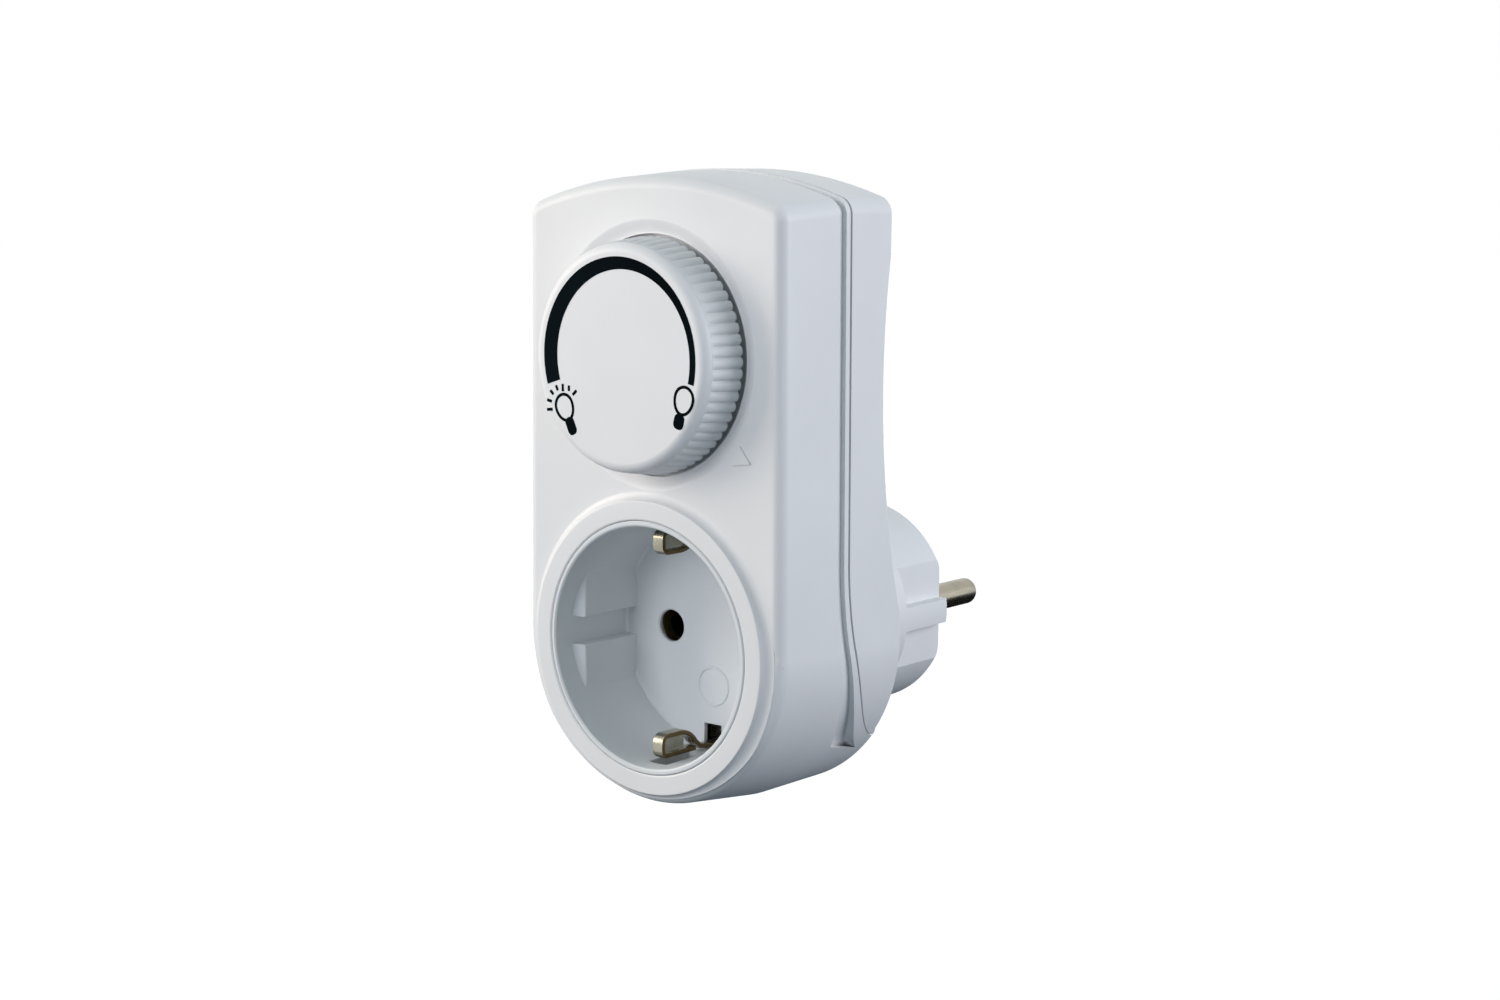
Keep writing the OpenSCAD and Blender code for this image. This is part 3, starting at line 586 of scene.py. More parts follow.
def crown_points(half, case, inset, corner, count=12):
    """The top of the outline from the right shoulder to the left one, as width and height."""
    arch = case.arch - inset
    top = case.crown - inset
    x = half - case.lean - corner
    z = top - arch + math.sqrt((arch - corner) ** 2 - x * x)
    meet = math.atan2(z - top + arch, x)
    right = []
    for step in range(count + 1):
        angle = meet * step / count
        right.append((x + corner * math.cos(angle), z + corner * math.sin(angle)))
    arc = []
    spans = 4 * count
    for step in range(1, spans):
        angle = meet + (math.pi - 2 * meet) * step / spans
        arc.append((arch * math.cos(angle), top - arch + arch * math.sin(angle)))
    left = [(-px, pz) for px, pz in reversed(right)]
    return right + arc + left


def case_shape(name, case, inset, d0, d1, draw_to=None):
    """The outline of the case as a solid: a half-round foot, leaning sides and an arched crown."""
    half = case.width / 2 - inset
    corner = max(case.corner - inset, 0.5)
    points = crown_points(half, case, inset, corner)
    shoulder = points[0][1]
    shape = rod(name, half, d0, d1, steps=192)
    with editing(shape, "FACE"):
        bpy.ops.mesh.select_all(action="SELECT")
        bpy.ops.mesh.bisect(plane_co=(0, 0, 0), plane_no=(0, 0, 1), use_fill=True, clear_outer=True)
        pick(shape, "FACE", lambda face: face.normal.z > 0.9)
        bpy.ops.mesh.extrude_region_move(TRANSFORM_OT_translate={"value": (0, 0, shoulder * MM)})
        bpy.ops.transform.resize(value=(points[0][0] / half, 1, 1), center_override=(0, 0, shoulder * MM))

        def across_top(edge):
            a, b = edge.verts
            return min(a.co.z, b.co.z) > (shoulder - HAIR) * MM and abs(a.co.x - b.co.x) > MM

        pick(shape, "EDGE", across_top)
        inner = points[1:-1]
        bpy.ops.mesh.subdivide(number_cuts=len(inner))
        for number, (x, z) in enumerate(inner, 1):
            was = points[0][0] * (1 - 2 * number / (len(inner) + 1))

            def here(vert, was=was):
                return abs(vert.co.x - was * MM) < 1e-6 and abs(vert.co.z - shoulder * MM) < 1e-7

            pick(shape, "VERT", here)
            bpy.ops.transform.translate(value=((x - was) * MM, 0, (z - shoulder) * MM))
        if draw_to is not None:
            bpy.ops.mesh.select_all(action="SELECT")
            bpy.ops.mesh.bisect(plane_co=at(0, draw_to, 0), plane_no=(0, 1, 0))
            pick(shape, "VERT", lambda vert: vert.co.y < at(0, d0 + HAIR, 0).y)
            top = case.crown - inset
            tall = top + half
            less = case.draft * 2 + case.crown_draft + case.foot_draft
            scale_z = (tall - less) / tall
            middle = (top - case.draft - case.crown_draft - top * scale_z) / (1 - scale_z)
            bpy.ops.transform.resize(
                value=((half - case.draft) / half, 1, scale_z), center_override=at(0, d0, middle)
            )
    return shape


def behind_line(name, depth, reach, drop, bend):
    """All that lies behind a line that drops straight and then sweeps back along an oval."""
    upper = block(name, -PAST_SIDE, PAST_SIDE, depth, PAST_BACK, bend, PAST_TOP)
    return carve(upper, bar("sweep", PAST_SIDE, depth + reach, bend, reach, drop, 256), way="UNION")


def behind_seam(seam, gap):
    """All that lies behind the seam, when it is moved back by a gap."""
    return behind_line(
        "behind seam", seam.depth + gap, seam.reach - gap, seam.drop - gap, seam.bend
    )


def cut_back(piece, case, inset=0.0):
    """Cut the hollow upper back."""
    half = 40
    high = 100
    waist = case.waist - inset
    hollow = bar("hollow", half, waist + case.hollow, case.waist_z, case.hollow, case.hollow, 640)
    rise = math.sqrt(case.hollow**2 - (case.hollow - case.top_rise) ** 2)
    top = block("top back", -half, half, waist + case.top_rise, PAST_BACK, case.waist_z + rise, high)
    return carve(piece, hollow, top)


def reshape_foot(shape, was, drop):
    """Give the round foot of a shape a new drop below the outlet axis."""
    with editing(shape):
        pick(shape, "VERT", lambda vert: vert.co.z < 0)
        bpy.ops.transform.resize(value=(1, 1, drop / was), center_override=(0, 0, 0))


def four_places(case, from_wall, low, from_crown):
    """Widths and heights of four fixings, two on each side."""
    x = case.width / 2 - case.wall - from_wall
    return [(side * x, z) for side in (-1, 1) for z in (low, case.crown - from_crown)]


def screw_places(case):
    return four_places(case, from_wall=4.0, low=26.0, from_crown=10.8)


def post_places(case):
    return four_places(case, from_wall=11.3, low=30.0, from_crown=9.0)


def rods(name, places, radius, d0, d1, steps=48):
    return gather(name, [rod(name, radius, d0, d1, x, z, steps) for x, z in places])


class DIMMER_OT_front_cover(Operator):
    """Model the front cover with its band, collar, dish and index mark"""

    bl_idname = "dimmer.front_cover"
    bl_label = "Front cover"

    def execute(self, context):
        case, seam, outlet, knob, plug = read_sizes(context, "case", "seam", "outlet", "knob", "plug")
        inside = case.face + case.front_wall
        bushing = 3.8
        drawn_to = seam.depth - 2.6
        cover = case_shape("front_cover_shell", case, 0, case.face, case.back, seam.depth)
        front = at(0, case.face + HAIR, 0).y
        round_edges(cover, case.edge, lambda e: max(v.co.y for v in e.verts) < front, 8)
        carve(cover, self.band(case, seam), behind_seam(seam, 0))
        carve(cover, case_shape("room", case, case.wall, inside, case.back - case.wall, drawn_to))
        carve(cover, rod("plug hole", plug.radius + FIT, case.waist - OVER, case.back + OVER, steps=160))
        carve(cover, self.collar(case, outlet, inside), way="UNION")
        carve(cover, rod("rim hole", outlet.rim + FIT, -OVER, inside + OVER, steps=192))
        carve(cover, *self.knob_seat(case, knob))
        carve(cover, rod("bushing hole", bushing, 0, inside + OVER, 0, KNOB_Z, 64))
        self.add_fixings(cover, case, seam, inside)
        carve(cover, self.mark(case, knob), way="UNION")
        smooth(cover)
        hand_over(cover, "housing", "case_plastic", "front_cover")
        return {"FINISHED"}

    def band(self, case, seam):
        """What the band takes from the cover, between the step and the lip, down to a falling ledge."""
        band = behind_line("band", seam.step, seam.step_reach, seam.step_drop, seam.bend)
        middle = seam.step + seam.step_reach
        back = case.back + OVER
        half = case.width / 2
        rest = block("band back", -PAST_SIDE, PAST_SIDE, middle, back, -half, seam.bend)
        carve(band, rest, way="UNION")
        tilt = math.radians(12)
        corner = middle - 5
        deep = 35
        place = at(0, corner - deep * math.sin(tilt), -seam.ledge - deep * math.cos(tilt))
        cube = bpy.ops.mesh.primitive_cube_add
        carve(band, fresh("ledge", cube, place, (-tilt, 0, 0), size=2 * deep * MM))
        inner = case_shape("inner band", case, seam.band, 0, back + OVER)
        reshape_foot(inner, half - seam.band, half - seam.scoop)
        lip = behind_line("lip", seam.depth - seam.lip, seam.reach + seam.lip, seam.lip_drop, seam.bend)
        return carve(band, inner, lip)

    def collar(self, case, outlet, inside):
        """The raised ring round the outlet, with a hollow slope, kept inside the outline of the case."""
        hole = outlet.rim - 0.5
        back = inside - 0.6
        crest = outlet.collar - outlet.slope
        rings = [(hole, back), (hole, 0.6), (outlet.rim + 0.35, 0)]
        rings += [(crest - 0.35, 0), (crest - 0.12, 0.06), (crest, 0.25)]
        rings += arc(outlet.collar, 0, -outlet.slope, case.face + SINK, 8)[2:]
        rings += [(outlet.collar + 0.1, back)]
        collar = lathe("collar", rings, steps=192, hollow=True)
        inset = 1.3
        half = case.width / 2 - inset
        trim = case_shape("trim", case, inset, -OVER, inside + OVER)
        reshape_foot(trim, half, half - case.foot_draft)
        return carve(collar, trim, way="INTERSECT")

    def knob_seat(self, case, knob):
        """What the dish round the knob and the groove under its rim take from the cover."""
        foot = knob.radius + 0.5
        run = 2.5
        rim = case.face - SINK
        rings = [(foot + run + 0.1, case.face - 0.4), (foot + run, rim)]
        steps = 8
        for step in range(1, steps + 1):
            share = step / steps
            fall = share * share * (3 - 2 * share)
            rings.append((foot + run * (1 - share), rim + (knob.dish + SINK) * fall))
        dish = lathe("dish", rings, z=KNOB_Z, steps=160)
        floor = case.face + knob.dish + knob.moat
        outer = foot - 0.1
        inner = knob.core - 3
        rings = [(outer, case.face), (outer, floor), (inner, floor), (inner, case.face)]
        return dish, lathe("moat", rings, z=KNOB_Z, steps=160, hollow=True)

    def add_fixings(self, cover, case, seam, inside):
        """The bosses of the case screws and the posts of the circuit board, with their holes."""
        post = 2.6
        post_end = 13.0
        thread = 1.45
        thread_start = 9.5
        post_thread = 1.15
        post_thread_start = 6.0
        bosses = rods("bosses", screw_places(case), BOSS, inside - OVER, seam.depth + BOSS_MEET)
        posts = rods("posts", post_places(case), post, inside - OVER, post_end)
        carve(cover, gather("bosses", [bosses, posts]), way="UNION")
        deep = rods("screw holes", screw_places(case), thread, thread_start, seam.depth + OVER)
        short = rods("post holes", post_places(case), post_thread, post_thread_start, post_end + OVER)
        carve(cover, gather("holes", [deep, short]))

    def mark(self, case, knob):
        """The raised index mark, a small triangle below the right of the knob."""
        spot = math.radians(-38)
        turn = math.radians(-8)
        reach = knob.radius + 5.3
        size = 2.1
        thickness = 0.9
        mark = fresh(
            "mark", bpy.ops.mesh.primitive_cylinder_add,
            at(reach * math.cos(spot), case.face + 0.1, KNOB_Z + reach * math.sin(spot)),
            (QUARTER, turn, 0), vertices=3, radius=size * MM, depth=thickness * MM,
        )
        soften(mark, 0.14, 2)
        return mark


class DIMMER_OT_rear_cover(Operator):
    """Model the rear cover with its hollow back, plug, flats, tongues and earth grooves"""

    bl_idname = "dimmer.rear_cover"
    bl_label = "Rear cover"

    def execute(self, context):
        case, seam, plug = read_sizes(context, "case", "seam", "plug")
        cover = case_shape("rear_cover_shell", case, 0, seam.depth - OVER, case.back)
        cut_back(cover, case)
        outside = behind_line(
            "outside", seam.depth + seam.gap, seam.reach - seam.gap, seam.drop - seam.foot_gap, seam.bend
        )
        carve(cover, outside, way="INTERSECT")
        self.round_back(cover, case, seam)
        self.add_lap(cover, case, seam)
        bosses = rods("bosses", screw_places(case), BOSS, seam.depth + BOSS_MEET, case.back)
        cut_back(bosses, case, 0.5)
        carve(cover, bosses, way="UNION")
        self.add_plug(cover, case, plug)
        head_room = 3.0
        screw = 1.6
        seat = case.waist - SCREW_SINK
        carve(cover, rods("screw rooms", screw_places(case), head_room, seat, case.back + OVER))
        carve(cover, rods("screw holes", screw_places(case), screw, 0, case.back))
        smooth(cover)
        hand_over(cover, "housing", "case_plastic", "rear_cover")
        return {"FINISHED"}

    def round_back(self, cover, case, seam):
        """Round the edge of the back, down to a little above the foot of the seam."""
        lowest = (seam.bend - seam.drop + 1.5) * MM

        def rear(edge):
            if len(edge.link_faces) != 2 or min(v.co.z for v in edge.verts) < lowest:
                return False
            a, b = (face.normal.y for face in edge.link_faces)
            return max(a, b) > 0.9 and min(a, b) < 0.3

        round_edges(cover, case.rear_edge, rear, 4)

    def add_lap(self, cover, case, seam):
        """The lap that closes the seam from inside, and the room inside the cover."""
        lap_out = case.wall + FIT
        lap_in = lap_out + seam.lap
        room_front = seam.depth - 6
        room_back = case.back - case.wall
        lap = case_shape("lap", case, lap_out, seam.depth - 4, case.back - lap_out)
        cut_back(lap, case, lap_out)
        carve(lap, behind_seam(seam, -seam.lap_reach), way="INTERSECT")
        carve(lap, rods("boss room", screw_places(case), BOSS + FIT, 0, seam.depth + BOSS_MEET))
        carve(cover, lap, way="UNION")
        narrow = case_shape("narrow room", case, lap_in, room_front, room_back)
        carve(cover, cut_back(narrow, case, case.wall))
        room = case_shape("wide room", case, case.wall, room_front, room_back)
        cut_back(room, case, case.wall)
        carve(room, behind_seam(seam, seam.gap + 2), way="INTERSECT")
        carve(cover, room)

    def add_plug(self, cover, case, plug):
        """The round plug with all that is cut into it."""
        end = PLUG_FACE + OVER
        past = plug.radius + OVER
        rings = [(plug.radius, case.waist - OVER)]
        rings += arc(plug.radius - plug.edge, PLUG_FACE - plug.edge, plug.edge, plug.edge, 6)
        body = lathe("plug", rings, steps=160)
        flats = [
            block(
                "flat", x * plug.flat, x * past, PLUG_FACE - plug.flat_length, end,
                z * plug.tongue, z * plug.flat_half,
            )
            for x in (-1, 1) for z in (-1, 1)
        ]
        carve(body, gather("flats", flats))
        carve(cover, body, way="UNION")
        self.hollow_plug(cover, case, plug)
        half = plug.earth_width / 2 + FIT
        strip_room = 1.1
        for z in (-1, 1):
            low = z * (plug.earth_z - FIT)
            high = z * (plug.earth_z + strip_room)
            carve(cover, block("earth slot", -half, half, case.waist - 3, end, low, high))
            low = z * (plug.earth_z + FIT)
            carve(cover, block("earth groove", -half, half, case.back + HAIR, end, low, z * past))
        holes = [(-plug.pitch / 2, 0), (plug.pitch / 2, 0)]
        carve(cover, rods("pin holes", holes, plug.pin + 0.05, PLUG_FACE - 16, end))

    def hollow_plug(self, cover, case, plug):
        """The room inside the plug, round the pin carrier and between the earth strips."""
        bore = plug.radius - case.wall
        side = plug.flat - case.wall
        top = plug.earth_z - case.wall
        face_wall = 3
        hollow = rod("plug room", bore, case.waist - 6, PLUG_FACE - PIN_ROOT, steps=128)
        deep = rod("deep room", bore, PLUG_FACE - 20, PLUG_FACE - face_wall, steps=128)
        carve(deep, block("limits", -side, side, 0, PLUG_FACE, -top, top), way="INTERSECT")
        carve(hollow, deep, way="UNION")
        half = plug.earth_width / 2 + case.wall
        for z in (-1, 1):
            far = z * (plug.radius + OVER)
            carve(hollow, block("earth wall", -half, half, 0, PLUG_FACE, z * top, far))
        carve(cover, hollow)


class DIMMER_OT_outlet_insert(Operator):
    """Model the outlet's round insert with its guides, pin holes and clip slots"""

    bl_idname = "dimmer.outlet_insert"
    bl_label = "Outlet insert"

    def execute(self, context):
        case, outlet, plug = read_sizes(context, "case", "outlet", "plug")
        inside = case.face + case.front_wall
        back = outlet.depth + outlet.floor
        insert = self.cup(outlet, inside, back)
        guides = [self.guide(side, end, outlet) for side in (-1, 1) for end in (-1, 1)]
        guides = gather("guides", guides)
        carve(guides, rod("well", outlet.well + 0.5, 0, back, steps=160), way="INTERSECT")
        carve(insert, guides, way="UNION")
        x = plug.pitch / 2
        holes = [self.pin_hole(outlet, side * x, back) for side in (-1, 1)]
        carve(insert, gather("pin holes", holes))
        sleeve_room = 4.4
        thin = outlet.depth + outlet.skin
        carve(insert, rods("pin rooms", [(-x, 0), (x, 0)], sleeve_room, thin, back + OVER))
        self.cut_for_clips(insert, outlet, thin, back)
        carve(insert, self.ring_mark(outlet), way="UNION")
        post = 2.6
        post_length = 3.2
        thread = 1.15
        posts = [(x, -8.4), (-x, 8.4)]
        carve(insert, rods("posts", posts, post, back - 0.5, back + post_length), way="UNION")
        carve(insert, rods("post holes", posts, thread, back, back + post_length + OVER))
        smooth(insert)
        hand_over(insert, "housing", "insert_plastic", "socket_insert")
        return {"FINISHED"}

    def cup(self, outlet, inside, back):
        """The turned cup with its rounded well, rim and flange."""
        wall = outlet.well - 0.3
        flange_back = inside + 2
        rings = [(wall - 0.9, outlet.depth), (wall - 0.35, outlet.depth - 0.12)]
        rings += [(wall - 0.08, outlet.depth - 0.4), (wall + 0.02, outlet.depth - 0.9)]
        rings += [(outlet.well, 0.5), (outlet.well + 0.1, 0.18), (outlet.well + 0.35, 0)]
        rings += [(outlet.rim - 0.2, 0), (outlet.rim, 0.2), (outlet.rim, inside), (outlet.flange, inside)]
        rings += [(outlet.flange, flange_back), (outlet.cup, flange_back), (outlet.cup, back)]
        return lathe("outlet_insert", rings, steps=192)

    def pin_hole(self, outlet, x, back):
        """What a pin hole with a broken edge takes from the floor."""
        edge = 0.25
        wide = outlet.pin_hole + edge
        rings = [(wide, outlet.depth - 0.3), (wide, outlet.depth)]
        rings += [(outlet.pin_hole, outlet.depth + edge), (outlet.pin_hole, back + OVER)]
        return lathe("pin hole", rings, x, 0, 64)

    def cut_for_clips(self, insert, outlet, thin, back):
        """The slots in the floor and the windows in the wall for the earth clips."""
        slot = 1.9
        room = 4.2
        window = 2.0
        window_front = 3.4
        window_back = 13.5
        end = back + OVER
        for z in (-1, 1):
            low = z * (outlet.clip_crest + 0.8)
            high = z * (outlet.well - 0.8)
            carve(insert, block("clip slot", -slot, slot, outlet.depth - OVER, end, low, high))
            low = z * (outlet.clip_crest - 0.6)
            high = z * (outlet.well + 0.4)
            carve(insert, block("clip room", -room, room, thin, end, low, high))
            low = z * (outlet.well - 1.5)
            high = z * (outlet.cup + OVER)
            carve(insert, block("clip window", -window, window, window_front, window_back, low, high))

    def ring_mark(self, outlet):
        """The small raised ring on the floor, left empty."""
        outer = 3.5
        inner = 2.95
        height = 0.25
        edge = 0.15
        low = -9.2
        foot = outlet.depth + 0.3
        side = outlet.depth - 0.1
        top = outlet.depth - height
        rings = [(outer, foot), (outer, side), (outer - edge, top)]
        rings += [(inner + edge, top), (inner, side), (inner, foot)]
        return lathe("ring mark", rings, 0, low, 64, hollow=True)

    def guide(self, side, end, outlet):
        """One guide block with a sloping front."""
        low = 2.4
        high = 10.0
        front = 3.6
        slope = 1.0
        wall = outlet.well + 0.8
        guide = block(
            "guide", side * outlet.guide, side * wall, front, outlet.depth + 0.2, end * low, end * high
        )
        near = at(0, front + 0.1, 0).y
        flat = (outlet.guide + 0.1) * MM
        with editing(guide, "EDGE"):
            pick(guide, "EDGE", lambda e: all(v.co.y < near and abs(v.co.x) < flat for v in e.verts))
            bpy.ops.transform.translate(value=(0, slope * MM, 0))
        far = at(0, outlet.depth, 0).y

        def shows(edge):
            return all(abs(v.co.x) < flat for v in edge.verts) and min(v.co.y for v in edge.verts) < far

        round_edges(guide, 0.35, shows, 3)
        return guide


class DIMMER_OT_earth_clips(Operator):
    """Model the two sprung earth clips in the well"""

    bl_idname = "dimmer.earth_clips"
    bl_label = "Earth clips"

    def execute(self, context):
        [outlet] = read_sizes(context, "outlet")
        for end, place in ((1, "top"), (-1, "bottom")):
            clip = self.clip(f"earth_spring_{place}", end, outlet)
            hand_over(clip, "housing", "nickel", f"earth_clip_{place}")
            # The cut edges get the dark brass: bare metal where the plating is missing, and painted shade besides
            clip.data.materials.append(finish_of("brass"))
            with editing(clip, "FACE"):
                pick(clip, "FACE", lambda face: self.is_cut(face, outlet))
                clip.active_material_index = 1
                bpy.ops.object.material_slot_assign()
        return {"FINISHED"}

    def is_cut(self, face, outlet):
        """Whether a face is a cut edge of the strip, where the plating is missing; its dark brass is partly
        painted shade.
        """
        return abs(face.normal.x) > 0.7 and abs(face.calc_center_median().x) > outlet.clip_width / 3 * MM

    def clip(self, name, end, outlet):
        """A strip that curls round a core at the front, arches over and runs back into its slot."""
        front = 3.3
        curl = 1.3
        bend = 1.6
        bow = 5.2
        top = 8.0
        wall = outlet.well - 0.9
        crest = outlet.clip_crest
        foot = 12.0
        sweep = math.radians(55)
        path = [(foot, wall)]
        path += reversed(arc(front + curl, wall - curl, -curl, curl, 6))
        path += arc(front + bend, crest + bend, -bend, -bend, 6)
        for step in range(9):
            angle = sweep * step / 8
            path.append((top + bow * math.sin(angle), crest + bow - bow * math.cos(angle)))
        narrow_from = len(path)
        tail = 18.6
        path += [(13.6, tail - 0.3), (15.4, tail), (outlet.depth + outlet.floor, tail)]
        clip = self.strip(name, end, path, outlet.clip_width, narrow_from)
        only(clip)
        sheet = clip.modifiers.new("sheet", "SOLIDIFY")
        sheet.thickness = outlet.strip * MM
        sheet.offset = end
        sheet.use_even_offset = True
        bpy.ops.object.modifier_apply(modifier=sheet.name)
        with editing(clip):
            bpy.ops.mesh.select_all(action="SELECT")
            bpy.ops.mesh.normals_make_consistent(inside=False)
        soften(clip, 0.1, 2, 50)
        inset = 0.5
        half = outlet.clip_width / 2 - inset
        low = end * (crest + inset)
        high = end * (wall - inset)
        carve(clip, block("core", -half, half, front + inset, top + 1.3, low, high), way="UNION")
        smooth(clip, 35)
        return clip

    def strip(self, name, end, path, width, narrow_from):
        """A flat strip along a path of depths and heights, narrower from one of its points on."""
        narrow = 0.8
        (d0, z0), (d1, z1) = path[:2]
        run = math.hypot(d1 - d0, z1 - z0)
        strip = fresh(
            name, bpy.ops.mesh.primitive_plane_add, at(0, (d0 + d1) / 2, end * (z0 + z1) / 2),
            (math.atan2(end * (z1 - z0), d1 - d0), 0, 0), (width, run, 1), size=MM,
        )
        last = at(0, d1, end * z1)
        with editing(strip, "EDGE"):
            pick(strip, "EDGE", lambda e: all((v.co - last).yz.length < 1e-5 for v in e.verts))
            for number, (d, z) in enumerate(path[2:], 2):
                step = ((d - path[number - 1][0]) * MM, end * (z - path[number - 1][1]) * MM)
                bpy.ops.mesh.extrude_edges_move(TRANSFORM_OT_translate={"value": (0, *step)})
                if number == narrow_from:
                    bpy.ops.transform.resize(value=(narrow, 1, 1), center_override=(0, 0, 0))
        return strip


class DIMMER_OT_plug_pins(Operator):
    """Model the two round plug pins"""

    bl_idname = "dimmer.plug_pins"
    bl_label = "Plug pins"

    def execute(self, context):
        [plug] = read_sizes(context, "plug")
        root = 3.4
        root_end = PLUG_FACE - 12.5
        tip = 1.4
        slim = plug.pin - 0.2
        end = PLUG_FACE + plug.pin_length
        rings = [(root, PLUG_FACE - PIN_ROOT), (root, root_end), (plug.pin, root_end)]
        rings += [(plug.pin, PLUG_FACE - 0.5), (slim, PLUG_FACE - 0.45), (slim, PLUG_FACE + 0.45)]
        rings += [(plug.pin, PLUG_FACE + 0.5)]
        rings += arc(plug.pin - tip, end - tip, tip, tip, 8)
        for side, place in ((-1, "left"), (1, "right")):
            pin = lathe(f"pin_{place}", rings, side * plug.pitch / 2, 0, 64)
            smooth(pin)
            hand_over(pin, "housing", "nickel", f"plug_pin_{place}")
        return {"FINISHED"}


class DIMMER_OT_earth_strips(Operator):
    """Model the two earth strips of the plug"""

    bl_idname = "dimmer.earth_strips"
    bl_label = "Earth strips"

    def execute(self, context):
        for place in ("top", "bottom"):
            node = f"plug_earth_{place}"
            low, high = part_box(node)
            strip = fresh(
                f"earth_strip_{place}", bpy.ops.mesh.primitive_cube_add, (low + high) / 2,
                scale=high - low, size=1,
            )
            soften(strip, 0.2, 3)
            smooth(strip)
            hand_over(strip, "housing", "nickel", node)
        return {"FINISHED"}


class DIMMER_OT_knob(Operator):
    """Model the ribbed knob"""

    bl_idname = "dimmer.knob"
    bl_label = "Knob"

    def execute(self, context):
        case, knob = read_sizes(context, "case", "knob")
        face = knob_face()
        front = face + knob.edge
        skirt = self.skirt(case, knob, front)
        base = skirt[0][0]
        bore = knob.core - knob.wall
        inner = face + knob.wall
        hub = 5.0
        hub_back = -2.0
        shaft = 3.02
        rings = arc(knob.core - knob.edge, front, knob.edge, -knob.edge, 8)
        rings.reverse()
        rings += [(valley, depth) for depth, valley, _ in reversed(skirt)]
        rings += [(bore, base), (bore, inner), (hub, inner), (hub, hub_back)]
        rings += [(shaft, hub_back), (shaft, inner)]
        cap = lathe("dimmer_knob", rings, 0, KNOB_Z, RIB_STEPS * knob.ribs)
        self.raise_ribs(cap, knob, skirt)
        smooth(cap, 40)
        hand_over(cap, "knob", "knob_plastic", "knob")
        return {"FINISHED"}

    def skirt(self, case, knob, front):
        """Depth, radius between the ribs and height of the ribs, from the base to the front edge."""
        base = case.face + knob.dish - 0.5
        flare = knob.radius - knob.core
        # Depth along the skirt and the share of the flare there
        shares = [(base, 1.0), (base - 0.15, 1.0), (-0.5, 0.78), (-3.0, 0.42), (-4.2, 0.17)]
        shares += [(front - 0.25, 0.0)]
        skirt = []
        for depth, share in shares:
            rib = knob.rib * min(1.0, 5 * share)
            skirt.append((depth, knob.core + flare * share - rib, rib))
        return skirt

    def raise_ribs(self, cap, knob, skirt):
        """Move the crests of the ribs out, with rounded flanks."""
        steps = RIB_STEPS * knob.ribs
        centre = at(0, 0, KNOB_Z)
        wide = (knob.core - knob.wall / 2) * MM
        with editing(cap):
            for depth, valley, height in skirt:
                if not height:
                    continue
                y = at(0, depth, 0).y
                for phase in range(RIB_STEPS // 2):

                    def on_rib(vert, y=y, phase=phase):
                        out = vert.co - centre
                        if abs(vert.co.y - y) > 1e-6 or math.hypot(out.x, out.z) < wide:
                            return False
                        turn = round(math.atan2(out.z, out.x) / (2 * math.pi) * steps) % RIB_STEPS
                        return turn in (phase, (RIB_STEPS - phase) % RIB_STEPS)

                    pick(cap, "VERT", on_rib)
                    crest = 1 - (2 * phase / RIB_STEPS) ** 3
                    grow = 1 + height * crest / valley
                    bpy.ops.transform.resize(value=(grow, 1, grow), center_override=at(0, depth, KNOB_Z))


def knob_face():
    """Depth of the knob's face, a little behind the frame's, so that the print stays inside it."""
    print_room = 0.05
    return (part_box("knob")[0].y - RIM_Y) / MM + print_room


